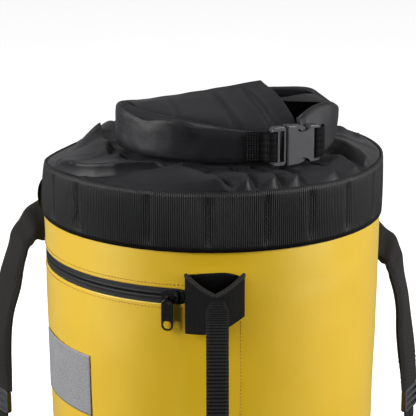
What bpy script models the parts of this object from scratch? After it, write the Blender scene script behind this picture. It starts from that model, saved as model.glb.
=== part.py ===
"""Roll-top bucket bag: a coated-fabric tube with a stiff webbing rim, a gathered skirt that rolls
shut and clips with a side-release buckle, a zipped pocket, a front carry handle and two shoulder straps.

Metres, +Z up. The origin is the centre of the base's underside. The front of the bag faces -Y, and an
azimuth is counted in degrees from the front towards +X."""

import bmesh
import bpy
from math import cos, pi, radians, sin, sqrt
from mathutils import Matrix, Vector

# ---- Driving dimensions -------------------------------------------------------------------------------

RIM_HEIGHT = 0.420  # top of the webbing rim above the floor
RIM_RADIUS = 0.150  # outside of the webbing rim
TAPER = 0.0064  # how much narrower the fabric wall is at the floor than the rim
RIM_WEBBING_WIDTH = 0.050
RIM_WEBBING_THICKNESS = 0.0020
WALL_THICKNESS = 0.0012
STIFFENER_THICKNESS = 0.0013
STIFFENER_MARGIN = 0.006  # the hoop stops this far inside the webbing's edges
FACING_THICKNESS = 0.0012
SKIRT_THICKNESS = 0.0010
SKIRT_HEM = 0.028  # how far the skirt's sewn hem reaches down inside the rim
FIT = 0.0003  # gap between pieces that touch
SIDES = 96  # facets of a full turn

BOOT_HEIGHT = 0.045
BOOT_THICKNESS = 0.0014
BOOT_FLOOR = 0.0030
BASE_PANEL_THICKNESS = 0.0012
BINDING_WIDTH = 0.012
BINDING_THICKNESS = 0.0010

# Zipped pocket
ZIP_DROP = 0.0384  # centre of the zip below the rim webbing
ZIP_WINDOW = 0.0138  # height of the slit in the wall
ZIP_START = -102.0  # azimuth of the slit's far end; the near end is beside the handle's patch
ZIP_TO_PATCH = 0.0003
TAPE_THICKNESS = 0.0006
TAPE_OVERLAP = 0.0050  # how far a tape runs on behind the wall
TEETH_SLIT = 0.0012  # gap that the slider's neck rides in
TEETH_WIDTH = 0.0026
TEETH_THICKNESS = 0.0013
STOP_LENGTH = 0.0036
STOP_GAP = 0.0008  # from the slit's end to a stop, and from a stop to the teeth
POCKET_DEPTH = 0.160
POCKET_THICKNESS = 0.0020
POCKET_STANDOFF = 0.0040  # room behind the tapes for the slider's inner plate

SLIDER_TO_END = 0.0123  # from the middle of the closed slider to the slit's near end
SLIDER_LENGTH = 0.0135
SLIDER_WIDTH = 0.0094
SLIDER_PLATE = 0.0013
SLIDER_FLANGE = 0.0009
SLIDER_NECK = 0.0007
BAIL_LENGTH = 0.0080
BAIL_HEIGHT = 0.0034
BAIL_ROD = 0.0011
PULL_WIDTH = 0.0100
PULL_LENGTH = 0.0290
PULL_THICKNESS = 0.0016
PULL_EYE = 0.0021  # outer radius of the eye round the bail
PULL_EYE_BORE = 0.0011
PULL_OFFSET = -0.0014  # the pull hangs this far from the middle of the bail

# Front carry handle
HANDLE_AZIMUTH = 0.9
PATCH_WIDTH = 0.048
PATCH_HEIGHT = 0.053
PATCH_THICKNESS = 0.0016
HANDLE_DROP = 0.017  # top edge of the upper patch below the rim webbing
HANDLE_BOTTOM = 0.090  # bottom edge of the lower patch
FOLD_STANDOFF = 0.028  # how far the folded webbing stands out in front of its patch
FOLD_THICKNESS = 0.0016
GRIP_WIDTH = 0.020
GRIP_THICKNESS = 0.0030
GRIP_BOW = 0.0160  # how far the middle of the grip stands out past its ends
GRIP_CLEARANCE = 0.0012

# Grey patch, haul loops, back pad
LABEL_START, LABEL_END = -78.0, -44.0
LABEL_DROP, LABEL_HEIGHT = 0.106, 0.052
LABEL_THICKNESS = 0.0005
HAUL_AZIMUTHS = {"left": -97.0, "right": 107.0}
HAUL_WIDTH = 0.020
HAUL_LENGTH = 0.032
HAUL_RISE = 0.0038
HAUL_THICKNESS = 0.0014
BACK_PAD_SPREAD = 42.0  # half angle of the pad
BACK_PAD_BOTTOM, BACK_PAD_DROP = 0.065, 0.052
BACK_PAD_THICKNESS = 0.010
YOKE_SPREAD = 27.0
YOKE_HEIGHT = 0.040
YOKE_THICKNESS = 0.0014

# Shoulder straps
STRAP_WIDTH = 0.042
STRAP_THICKNESS = 0.0080
STRAP_WEBBING_WIDTH = 0.025
STRAP_WEBBING_THICKNESS = 0.0016
LOCK_LENGTH, LOCK_WIDTH, LOCK_THICKNESS = 0.024, 0.032, 0.0050
LOCK_SLOT = 0.0034
FOOT_LENGTH, FOOT_HEIGHT, FOOT_THICKNESS = 0.040, 0.026, 0.0030
FOOT_AZIMUTH = 127.0
FOOT_CENTRE_HEIGHT = 0.072

# Rolled closure
ROLL_THICKNESS = 0.0070
ROLL_CORE_THICKNESS = 0.0090
ROLL_LIFT = 0.0120  # lower edge of the standing arms above the rim
ARM_END = (0.0410, -0.0945)  # where the buckle's webbing leaves the front arm
MOUTH_CENTRE = (0.006, -0.0720)
MOUTH_HALF_LENGTH, MOUTH_HALF_WIDTH = 0.044, 0.0060
MOUTH_LIFT = 0.0152  # the skirt's top edge above the rim
TENT_REACH = 0.0685  # the skirt rises over this distance from its mouth

# Side-release buckle for 25 mm webbing. Its own axes: x along the strap towards the socket half's
# bar, y up, z out of the face. Its origin is the centre of the socket's mouth.
BUCKLE_PLACE = (0.0602, -0.0935)
BUCKLE_LIFT = 0.0258  # its centre line above the rim
BUCKLE_TURN = 27.0
BUCKLE_WIDTH = 0.034
BUCKLE_TAPER = 0.0015  # each side of the socket half narrows by this towards its bar
SOCKET_LENGTH = 0.024
SOCKET_THICKNESS = 0.0100
SOCKET_WALL = 0.0020
SOCKET_INSIDE_LENGTH = 0.0200
SOCKET_SIDE = 0.0028
MOUTH_RING = 0.0050
NOTCH_CENTRE, NOTCH_HALF_LENGTH, NOTCH_DEPTH = 0.0145, 0.0075, 0.0062
STRAP_SLOT_LENGTH = 0.0032
BAR_LENGTH = 0.0027
BAR_THICKNESS = 0.0030
FRAME_LENGTH = 0.0131
FRAME_THICKNESS = 0.0070
FRAME_GAP = 0.0004  # between the frame's crossbar and the socket's mouth
BLADE_LENGTH, BLADE_WIDTH, BLADE_THICKNESS = 0.0160, 0.0048, 0.0036
PRONG_THICKNESS = 0.0048
TAB_WIDTH = 0.025
TAB_THICKNESS = 0.0014

# ---- Sizes that follow from them -----------------------------------------------------------------------

RIM_BOTTOM = RIM_HEIGHT - RIM_WEBBING_WIDTH
BASE_RADIUS = RIM_RADIUS - TAPER
WALL_RIM_RADIUS = RIM_RADIUS - RIM_WEBBING_THICKNESS - FIT
WALL_TOP_RADIUS = RIM_RADIUS - 0.0015  # just below the webbing
WALL_BOTTOM = BOOT_FLOOR + FIT
WALL_TOP = RIM_HEIGHT - 0.0015
FACING_RADIUS = WALL_RIM_RADIUS - WALL_THICKNESS - STIFFENER_THICKNESS - 2 * FIT
SKIRT_RADIUS = FACING_RADIUS - FACING_THICKNESS - FIT
ZIP_HEIGHT = RIM_BOTTOM - ZIP_DROP
SOCKET_INSIDE_WIDTH = BUCKLE_WIDTH - 2 * SOCKET_SIDE
STRAP_SLOT_WIDTH = TAB_WIDTH + 0.0012
HANDLE_TOP = RIM_BOTTOM - HANDLE_DROP
LABEL_TOP = RIM_BOTTOM - LABEL_DROP
BACK_PAD_TOP = RIM_BOTTOM - BACK_PAD_DROP
BUCKLE_ORIGIN = Vector((*BUCKLE_PLACE, RIM_HEIGHT + BUCKLE_LIFT))


def wall_radius(height):
    """Outside radius of the tapered fabric wall."""
    share = height / RIM_BOTTOM
    return BASE_RADIUS + (WALL_TOP_RADIUS - BASE_RADIUS) * share


def degrees_along(length, height):
    """How many degrees of azimuth a length covers on the wall."""
    return length / wall_radius(height) * 180 / pi


def on_ring(radius, azimuth, height):
    angle = radians(azimuth)
    return Vector((radius * sin(angle), -radius * cos(angle), height))


def wall_frame(radius, azimuth, height):
    """Axes on the wall: x along it towards +azimuth, y up, z outwards."""
    angle = radians(azimuth)
    along = Vector((cos(angle), sin(angle), 0))
    out = Vector((sin(angle), -cos(angle), 0))
    return frame_of(on_ring(radius, azimuth, height), along, Vector((0, 0, 1)), out)


def frame_of(origin, x_axis, y_axis, z_axis):
    rows = Matrix((x_axis, y_axis, z_axis)).transposed().to_4x4()
    rows.translation = origin
    return rows


ZIP_END = HANDLE_AZIMUTH - degrees_along(PATCH_WIDTH / 2 + ZIP_TO_PATCH, ZIP_HEIGHT)
SLIDER_AZIMUTH = ZIP_END - degrees_along(SLIDER_TO_END, ZIP_HEIGHT)
BUCKLE_FRAME = frame_of(
    BUCKLE_ORIGIN,
    Vector((cos(radians(BUCKLE_TURN)), sin(radians(BUCKLE_TURN)), 0)),
    Vector((0, 0, 1)),
    Vector((sin(radians(BUCKLE_TURN)), -cos(radians(BUCKLE_TURN)), 0)),
)

# ---- Making solids ---------------------------------------------------------------------------------------


def material(name, colour, roughness, metallic=0.0):
    made = bpy.data.materials.new(name)
    made.use_nodes = True
    shader = made.node_tree.nodes["Principled BSDF"]
    shader.inputs["Base Color"].default_value = (*colour, 1)
    shader.inputs["Roughness"].default_value = roughness
    shader.inputs["Metallic"].default_value = metallic
    return made


def finish(bm, name, finish_material, pivot=(0, 0, 0), helper=False):
    """Turns a bmesh in world coordinates into an object whose origin is at pivot."""
    bm.normal_update()
    bmesh.ops.recalc_face_normals(bm, faces=bm.faces[:])
    bmesh.ops.translate(bm, verts=bm.verts[:], vec=-Vector(pivot))
    mesh = bpy.data.meshes.new(name)
    bm.to_mesh(mesh)
    bm.free()
    mesh.shade_smooth()
    mesh.set_sharp_from_angle(angle=radians(35))
    made = bpy.data.objects.new(name, mesh)
    made.location = pivot
    bpy.context.scene.collection.objects.link(made)
    if helper:
        made.hide_render = True
        made.display_type = "WIRE"
    else:
        mesh.materials.append(finish_material)
    return made


def wire_loop(bm, points):
    verts = [bm.verts.new(point) for point in points]
    edges = [bm.edges.new((a, b)) for a, b in zip(verts, verts[1:] + verts[:1])]
    return verts, edges


def revolve(name, profile, finish_material, start=None, end=None, pivot=(0, 0, 0), helper=False):
    """Spins a closed (radius, height) profile about the bag's axis: a full turn, or from start to end."""
    bm = bmesh.new()
    full = start is None
    first = 0 if full else start
    turn = 360 if full else end - start
    steps = max(2, round(abs(turn) / 360 * SIDES))
    verts, edges = wire_loop(bm, [on_ring(r, first, z) for r, z in profile])
    bmesh.ops.spin(
        bm, geom=verts + edges, cent=(0, 0, 0), axis=(0, 0, 1), angle=radians(turn), steps=steps,
        use_merge=full, use_duplicate=False,
    )
    if not full:
        bmesh.ops.holes_fill(bm, edges=[e for e in bm.edges if e.is_boundary])
    bmesh.ops.remove_doubles(bm, verts=bm.verts[:], dist=1e-6)
    return finish(bm, name, finish_material, pivot, helper)


def sheet(name, point, across, along, thickness, finish_material, wrap=False, pivot=(0, 0, 0)):
    """A sheet of cloth or webbing: a grid laid on point(u, v), with u and v from 0 to 1, then thickened."""
    bm = bmesh.new()
    bmesh.ops.create_grid(bm, x_segments=across, y_segments=along, size=0.5)
    for vert in bm.verts:
        vert.co = point(vert.co.x + 0.5, vert.co.y + 0.5)
    if wrap:
        bmesh.ops.remove_doubles(bm, verts=bm.verts[:], dist=1e-6)
    made = finish(bm, name, finish_material, pivot)
    solid = made.modifiers.new("Thickness", "SOLIDIFY")
    solid.thickness = thickness
    solid.offset = 0
    solid.use_even_offset = not wrap
    return made


def prism(name, outline, low, high, axes, finish_material, pivot=None, helper=False, bevel=0.0):
    """Extrudes an outline in the axes' x and y from low to high along their z."""
    bm = bmesh.new()
    verts, _ = wire_loop(bm, [Vector((x, y, low)) for x, y in outline])
    face = bm.faces.new(verts)
    made = bmesh.ops.extrude_face_region(bm, geom=[face])
    moved = [g for g in made["geom"] if isinstance(g, bmesh.types.BMVert)]
    bmesh.ops.translate(bm, verts=moved, vec=(0, 0, high - low))
    if bevel:
        rims = [e for e in bm.edges if abs(e.verts[0].co.z - e.verts[1].co.z) < 1e-7]
        bmesh.ops.bevel(bm, geom=rims, offset=bevel, segments=2, profile=0.5, affect="EDGES", material=-1)
    bm.transform(axes)
    return finish(bm, name, finish_material, axes.translation if pivot is None else pivot, helper)


def boolean(base, other, operation):
    step = base.modifiers.new(operation.title(), "BOOLEAN")
    step.operation = operation
    step.object = other
    step.solver = "EXACT"
    return base


def box(width, height, x=0.0, y=0.0):
    return [
        (x - width / 2, y - height / 2), (x + width / 2, y - height / 2),
        (x + width / 2, y + height / 2), (x - width / 2, y + height / 2),
    ]


def rounded(width, height, radius, x=0.0, y=0.0, corner=3):
    """A rectangle with round corners, counter-clockwise."""
    points = []
    for quarter, (sx, sy) in enumerate(((1, 1), (-1, 1), (-1, -1), (1, -1))):
        centre = (x + sx * (width / 2 - radius), y + sy * (height / 2 - radius))
        for k in range(corner + 1):
            angle = pi / 2 * (quarter + k / corner)
            points.append((centre[0] + radius * cos(angle), centre[1] + radius * sin(angle)))
    return points


def ellipse(half_width, half_height, x=0.0, y=0.0, sides=16):
    turn = [2 * pi * k / sides for k in range(sides)]
    return [(x + half_width * cos(a), y + half_height * sin(a)) for a in turn]


def through(points, t):
    """A point on the smooth curve through the given points, with t from 0 to 1 (Catmull-Rom)."""
    spans = len(points) - 1
    span = min(int(t * spans), spans - 1)
    s = t * spans - span
    b, c = points[span], points[span + 1]
    a = points[span - 1] if span else b + (b - c)
    d = points[span + 2] if span + 2 <= spans else c + (c - b)
    return 0.5 * (2 * b + (c - a) * s + (2 * a - 5 * b + 4 * c - d) * s * s + (3 * b - 3 * c + d - a) * s**3)


def ribbon(name, stations, width, thickness, steps, finish_material, pivot=(0, 0, 0)):
    """A flat strap along (centre, across) stations."""
    centres = [Vector(centre) for centre, _ in stations]
    acrosses = [Vector(across).normalized() for _, across in stations]

    def point(u, v):
        return through(centres, v) + through(acrosses, v).normalized() * (u - 0.5) * width

    return sheet(name, point, 1, steps, thickness, finish_material, pivot=pivot)


# ---- Materials ------------------------------------------------------------------------------------------

COATED_YELLOW = material("coated_yellow", (0.82, 0.60, 0.02), 0.38)
COATED_BLACK = material("coated_black", (0.02, 0.02, 0.02), 0.45)
WEBBING = material("webbing_black", (0.018, 0.018, 0.020), 0.80)
SKIRT_CLOTH = material("skirt_nylon", (0.022, 0.020, 0.026), 0.62)
PLASTIC = material("buckle_plastic", (0.030, 0.030, 0.034), 0.35)
ZIP_CLOTH = material("zip_tape", (0.020, 0.020, 0.020), 0.75)
ZIP_METAL = material("zip_metal", (0.020, 0.020, 0.022), 0.35, 0.6)
GREY_PRINT = material("grey_patch", (0.30, 0.30, 0.30), 0.50)
FOAM_CLOTH = material("padded_cloth", (0.020, 0.020, 0.022), 0.85)
STIFF_PLASTIC = material("stiffener_plastic", (0.55, 0.55, 0.53), 0.50)


# ---- Tube, base and rim ------------------------------------------------------------------------------------


def zip_slit_cutter():
    low, high = ZIP_HEIGHT - ZIP_WINDOW / 2, ZIP_HEIGHT + ZIP_WINDOW / 2
    inner, outer = RIM_RADIUS - 0.012, RIM_RADIUS + 0.006
    profile = [(inner, low), (outer, low), (outer, high), (inner, high)]
    return revolve("zip_slit_cutter", profile, None, ZIP_START, ZIP_END, helper=True)


def build_tube():
    step = RIM_BOTTOM - FIT
    outside = [
        (wall_radius(WALL_BOTTOM), WALL_BOTTOM), (wall_radius(step), step),
        (WALL_RIM_RADIUS, step + FIT), (WALL_RIM_RADIUS, WALL_TOP),
    ]
    inside = [(r - WALL_THICKNESS, z) for r, z in reversed(outside)]
    wall = revolve("body_wall", outside + inside, COATED_YELLOW)
    boolean(wall, zip_slit_cutter(), "DIFFERENCE")
    boot_inner = wall_radius(0) + FIT
    boot_top_inner = wall_radius(BOOT_HEIGHT) + FIT
    boot_outer = boot_inner + BOOT_THICKNESS
    revolve("base_sole", [(0, 0), (boot_outer, 0), (boot_outer, BOOT_FLOOR), (0, BOOT_FLOOR)], COATED_BLACK)
    revolve(
        "base_boot",
        [
            (boot_inner, WALL_BOTTOM), (boot_outer, WALL_BOTTOM),
            (boot_top_inner + BOOT_THICKNESS, BOOT_HEIGHT), (boot_top_inner, BOOT_HEIGHT),
        ],
        COATED_BLACK,
    )
    panel_radius = wall_radius(0) - WALL_THICKNESS - FIT
    panel_low = BOOT_FLOOR + FIT
    panel_high = panel_low + BASE_PANEL_THICKNESS
    disc = [(0, panel_low), (panel_radius, panel_low), (panel_radius, panel_high), (0, panel_high)]
    revolve("base_panel", disc, COATED_BLACK)
    binding = boot_top_inner + BOOT_THICKNESS + FIT
    low, high = BOOT_HEIGHT - BINDING_WIDTH / 2, BOOT_HEIGHT + BINDING_WIDTH / 2
    hoop("base_binding", binding + BINDING_THICKNESS, BINDING_THICKNESS, low, high, WEBBING)


def hoop(name, outer, thickness, low, high, finish_material):
    profile = [(outer - thickness, low), (outer, low), (outer, high), (outer - thickness, high)]
    return revolve(name, profile, finish_material)


def build_rim():
    hoop("rim_webbing", RIM_RADIUS, RIM_WEBBING_THICKNESS, RIM_BOTTOM, RIM_HEIGHT, WEBBING)
    hoop(
        "rim_stiffener", WALL_RIM_RADIUS - WALL_THICKNESS - FIT, STIFFENER_THICKNESS,
        RIM_BOTTOM + STIFFENER_MARGIN, RIM_HEIGHT - STIFFENER_MARGIN, STIFF_PLASTIC,
    )
    hoop("rim_facing", FACING_RADIUS, FACING_THICKNESS, RIM_BOTTOM + 0.002, WALL_TOP, WEBBING)


# ---- Skirt and rolled closure ---------------------------------------------------------------------------


def mouth_point(azimuth):
    """The skirt's top edge: the long slot under the roll."""
    angle = radians(azimuth)
    x, y = sin(angle), -cos(angle)
    reach = sqrt((x / MOUTH_HALF_LENGTH) ** 2 + (y / MOUTH_HALF_WIDTH) ** 2)
    return Vector((MOUTH_CENTRE[0] + x / reach, MOUTH_CENTRE[1] + y / reach, RIM_HEIGHT + MOUTH_LIFT))


def skirt_point(u, v):
    """Up the hem inside the rim, then in and up to the mouth like a low tent."""
    azimuth = 360 * u
    radius = SKIRT_RADIUS - SKIRT_THICKNESS / 2
    hem_share = 2 / 12
    if v <= hem_share:
        return on_ring(radius, azimuth, RIM_HEIGHT - SKIRT_HEM * (1 - v / hem_share))
    inwards = 1 - (1 - (v - hem_share) / (1 - hem_share)) ** 1.6
    edge, mouth = on_ring(radius, azimuth, RIM_HEIGHT), mouth_point(azimuth)
    place = edge.lerp(mouth, inwards)
    away = (place.xy - mouth.xy).length
    place.z = RIM_HEIGHT + MOUTH_LIFT * max(0.0, 1 - away / TENT_REACH) ** 3
    return place


# Columns of the flattened roll's middle: x, then y and height above the rim of its lower and upper edge.
ROLL_COLUMNS = (
    (-0.064, -0.040, 0.0260, -0.030, 0.0420), (-0.040, -0.066, 0.0215, -0.032, 0.0470),
    (0.000, -0.078, 0.0200, -0.034, 0.0530), (0.043, -0.078, 0.0200, -0.036, 0.0630),
    (0.072, -0.072, 0.0225, -0.030, 0.0550), (0.090, -0.054, 0.0270, -0.026, 0.0440),
)


def roll_middle_point(u, v):
    low = through([Vector((x, y, RIM_HEIGHT + z)) for x, y, z, _, _ in ROLL_COLUMNS], v)
    high = through([Vector((x, y, RIM_HEIGHT + z)) for x, _, _, y, z in ROLL_COLUMNS], v)
    return low.lerp(high, u)


def arm(name, corners, steps, finish_material):
    """A flattened roll standing on edge: corners are (x, y, lower edge, upper edge) above the rim."""
    low = [Vector((x, y, RIM_HEIGHT + z)) for x, y, z, _ in corners]
    high = [Vector((x, y, RIM_HEIGHT + z)) for x, y, _, z in corners]

    def point(u, v):
        return through(low, v).lerp(through(high, v), u)

    sheet(name, point, 2, steps, ROLL_THICKNESS, finish_material)


def build_closure():
    sheet("closure_skirt", skirt_point, 72, 12, SKIRT_THICKNESS, SKIRT_CLOTH, wrap=True)
    sheet("roll_middle", roll_middle_point, 2, 20, ROLL_CORE_THICKNESS, SKIRT_CLOTH)
    arm(
        "roll_left_arm",
        (
            (*ARM_END, ROLL_LIFT, 0.0365), (0.0100, -0.0945, ROLL_LIFT, 0.0410),
            (-0.0250, -0.0920, ROLL_LIFT, 0.0440), (-0.0520, -0.0810, ROLL_LIFT, 0.0455),
            (-0.0705, -0.0620, 0.0135, 0.0465), (-0.0770, -0.0400, 0.0150, 0.0480),
            (-0.0700, -0.0180, 0.0170, 0.0470),
        ),
        24, SKIRT_CLOTH,
    )
    arm(
        "roll_right_arm",
        (
            (0.0980, -0.0700, 0.0160, 0.0360), (0.1040, -0.0590, 0.0165, 0.0400),
            (0.1060, -0.0440, 0.0175, 0.0440), (0.1020, -0.0270, 0.0190, 0.0460),
            (0.0930, -0.0120, 0.0200, 0.0450),
        ),
        14, SKIRT_CLOTH,
    )


# ---- Buckle ----------------------------------------------------------------------------------------------

# One prong's outline: distance past the mouth, and distance in from the socket's side.
PRONG_OUTLINE = (
    (-0.0001, 0.0066), (0.0050, 0.0064), (0.0064, 0.0046), (0.0120, 0.0043), (0.0172, 0.0072),
    (0.0190, 0.0058), (0.0172, 0.0025), (0.0120, 0.0006), (0.0074, 0.0003), (0.0054, 0.0010),
    (0.0053, 0.0034), (-0.0001, 0.0036),
)
PRONG_PIVOT = (0.0, 0.0052)
FRAME_START = -FRAME_LENGTH - FRAME_GAP


def socket_outline():
    half, far = BUCKLE_WIDTH / 2, BUCKLE_WIDTH / 2 - BUCKLE_TAPER
    end = SOCKET_LENGTH + STRAP_SLOT_LENGTH + BAR_LENGTH + 0.0013
    side = [(0, -half), (SOCKET_LENGTH, -far), (end - 0.0015, -far + 0.0004), (end, -far + 0.0024)]
    return side + [(x, -y) for x, y in reversed(side)]


def slot(name, x, length, reach):
    """A cutter for the slot that webbing goes through."""
    outline = box(length, STRAP_SLOT_WIDTH, x + length / 2)
    return prism(name, outline, -reach, reach, BUCKLE_FRAME, None, helper=True)


def build_socket():
    half = SOCKET_THICKNESS / 2
    inside = half - SOCKET_WALL
    made = prism(
        "buckle_socket", socket_outline(), -half, half, BUCKLE_FRAME, PLASTIC, bevel=0.0009
    )
    hollow_length = SOCKET_INSIDE_LENGTH + 0.002
    hollow = box(hollow_length, SOCKET_INSIDE_WIDTH, SOCKET_INSIDE_LENGTH - hollow_length / 2)
    cutter = prism("hollow_cutter", hollow, -inside, inside, BUCKLE_FRAME, None, helper=True)
    boolean(made, cutter, "DIFFERENCE")
    window_length = SOCKET_INSIDE_LENGTH - MOUTH_RING
    window = box(window_length, BUCKLE_WIDTH + 0.004, MOUTH_RING + window_length / 2)
    cutter = prism("window_cutter", window, -inside, inside, BUCKLE_FRAME, None, helper=True)
    boolean(made, cutter, "DIFFERENCE")
    for side in (-1, 1):
        notch = ellipse(NOTCH_HALF_LENGTH, NOTCH_DEPTH, NOTCH_CENTRE, side * BUCKLE_WIDTH / 2, 20)
        cutter = prism(f"notch_cutter_{side}", notch, -0.008, 0.008, BUCKLE_FRAME, None, helper=True)
        boolean(made, cutter, "DIFFERENCE")
    boolean(made, slot("socket_slot_cutter", SOCKET_LENGTH + 0.0013, STRAP_SLOT_LENGTH, 0.008), "DIFFERENCE")
    thin = bar_thinners("socket", SOCKET_LENGTH + 0.0008, SOCKET_LENGTH + 0.02)
    for cutter in thin:
        boolean(made, cutter, "DIFFERENCE")


def bar_thinners(name, start, end):
    """Cutters that leave a strap bar only BAR_THICKNESS thick between a frame's two side rails."""
    outline = box(end - start, STRAP_SLOT_WIDTH, (start + end) / 2)
    low, high = BAR_THICKNESS / 2, 0.012
    front = prism(f"{name}_bar_front_cutter", outline, low, high, BUCKLE_FRAME, None, helper=True)
    back = prism(f"{name}_bar_back_cutter", outline, -high, -low, BUCKLE_FRAME, None, helper=True)
    return front, back


def build_plug():
    half = FRAME_THICKNESS / 2
    rails = rounded(FRAME_LENGTH, BUCKLE_WIDTH - 0.001, 0.0035, -FRAME_GAP - FRAME_LENGTH / 2)
    made = prism("buckle_plug", rails, -half, half, BUCKLE_FRAME, PLASTIC, bevel=0.0008)
    outer_slot = FRAME_START + BAR_LENGTH
    inner_slot = outer_slot + STRAP_SLOT_LENGTH + 0.0020
    for cutter in bar_thinners("plug", FRAME_START - 0.002, inner_slot + 0.0001):
        boolean(made, cutter, "DIFFERENCE")
    boolean(made, slot("outer_slot_cutter", outer_slot, STRAP_SLOT_LENGTH, 0.006), "DIFFERENCE")
    boolean(made, slot("inner_slot_cutter", inner_slot, STRAP_SLOT_LENGTH - 0.0002, 0.006), "DIFFERENCE")
    blade = [
        (-FRAME_GAP - 0.001, -BLADE_WIDTH / 2), (BLADE_LENGTH - 0.002, -BLADE_WIDTH / 2),
        (BLADE_LENGTH, -BLADE_WIDTH / 4), (BLADE_LENGTH, BLADE_WIDTH / 4),
        (BLADE_LENGTH - 0.002, BLADE_WIDTH / 2), (-FRAME_GAP - 0.001, BLADE_WIDTH / 2),
    ]
    thick = BLADE_THICKNESS / 2
    boolean(made, prism("guide_blade", blade, -thick, thick, BUCKLE_FRAME, PLASTIC, helper=True), "UNION")


def build_prongs():
    half = PRONG_THICKNESS / 2
    for name, side in (("prong_upper", 1), ("prong_lower", -1)):
        edge = BUCKLE_WIDTH / 2
        outline = [(x, side * (edge - inwards)) for x, inwards in PRONG_OUTLINE]
        pivot = BUCKLE_FRAME @ Vector((PRONG_PIVOT[0], side * (edge - PRONG_PIVOT[1]), 0))
        prism(name, outline, -half, half, BUCKLE_FRAME, PLASTIC, pivot=pivot)


def tab(name, places, steps):
    """Buckle webbing standing on edge along the given (x, y) places at the buckle's height."""
    stations = [((x, y, BUCKLE_ORIGIN.z), (0, 0, 1)) for x, y in places]
    return ribbon(name, stations, TAB_WIDTH, TAB_THICKNESS, steps, WEBBING)


def in_buckle(x, z):
    place = BUCKLE_FRAME @ Vector((x, 0, z))
    return place.x, place.y


def build_buckle():
    build_socket()
    build_plug()
    build_prongs()
    front = BAR_THICKNESS / 2 + FIT + TAB_THICKNESS / 2
    bar = FRAME_START + BAR_LENGTH / 2
    turn = FRAME_START + BAR_LENGTH + STRAP_SLOT_LENGTH / 2
    face = ARM_END[1] - ROLL_THICKNESS / 2 - FIT - TAB_THICKNESS / 2 - 0.0002
    sewn = [(ARM_END[0] - 0.0130, face), (ARM_END[0] - 0.0060, face), (ARM_END[0] + 0.0006, face)]
    over = [
        (FRAME_START - 0.0024, 0.0012), (FRAME_START - 0.0002, front + 0.0002), (bar, front + 0.0003),
        (turn - 0.0004, front - 0.0006), (turn, 0.0), (turn - 0.0004, 0.0006 - front), (bar, -front - 0.0003),
        (FRAME_START - 0.0016, -0.0034),
    ]
    tab("plug_tab", sewn + [in_buckle(x, z) for x, z in over], 36)
    start = SOCKET_LENGTH + 0.0013 + STRAP_SLOT_LENGTH
    bar = start + BAR_LENGTH / 2
    turn = start - STRAP_SLOT_LENGTH / 2
    over = [
        (0.0345, -0.0036), (bar, -front - 0.0002), (turn + 0.0004, 0.0006 - front), (turn, 0.0),
        (turn + 0.0004, front - 0.0006), (bar, front + 0.0002), (0.0345, 0.0012), (0.0375, -0.0018),
        (0.0400, -0.0046), (0.0415, -0.0085),
    ]
    tab("socket_tab", [in_buckle(x, z) for x, z in over], 32)


# ---- Zipped pocket -----------------------------------------------------------------------------------------


def band(name, outer, thickness, low, high, finish_material, start=ZIP_START, end=ZIP_END):
    profile = [(outer - thickness, low), (outer, low), (outer, high), (outer - thickness, high)]
    return revolve(name, profile, finish_material, start, end)


def build_zip():
    tape_radius = wall_radius(ZIP_HEIGHT - ZIP_WINDOW) - WALL_THICKNESS - FIT
    teeth_radius = tape_radius + FIT + TEETH_THICKNESS
    reach = ZIP_WINDOW / 2 + TAPE_OVERLAP
    slit = TEETH_SLIT / 2
    gap, stop = degrees_along(STOP_GAP, ZIP_HEIGHT), degrees_along(STOP_LENGTH + STOP_GAP / 2, ZIP_HEIGHT)
    for name, side in (("upper", 1), ("lower", -1)):
        edges = sorted((ZIP_HEIGHT + side * slit, ZIP_HEIGHT + side * reach))
        band(f"zip_tape_{name}", tape_radius, TAPE_THICKNESS, *edges, ZIP_CLOTH)
        edges = sorted((ZIP_HEIGHT + side * slit, ZIP_HEIGHT + side * (slit + TEETH_WIDTH)))
        start, end = ZIP_START + gap + stop, ZIP_END - gap - stop
        band(f"zip_teeth_{name}", teeth_radius, TEETH_THICKNESS, *edges, ZIP_CLOTH, start, end)
    low, high = ZIP_HEIGHT - slit - TEETH_WIDTH, ZIP_HEIGHT + slit + TEETH_WIDTH
    band(
        "zip_stop_far", teeth_radius, TEETH_THICKNESS, low, high, ZIP_METAL,
        ZIP_START + gap, ZIP_START + stop,
    )
    band(
        "zip_stop_near", teeth_radius, TEETH_THICKNESS, low, high, ZIP_METAL,
        ZIP_END - stop, ZIP_END - gap,
    )
    pocket_radius = tape_radius - TAPE_THICKNESS - POCKET_STANDOFF
    top = ZIP_HEIGHT + reach
    band("pocket_bag", pocket_radius, POCKET_THICKNESS, top - POCKET_DEPTH, top, SKIRT_CLOTH)
    build_slider(tape_radius, teeth_radius)


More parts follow.
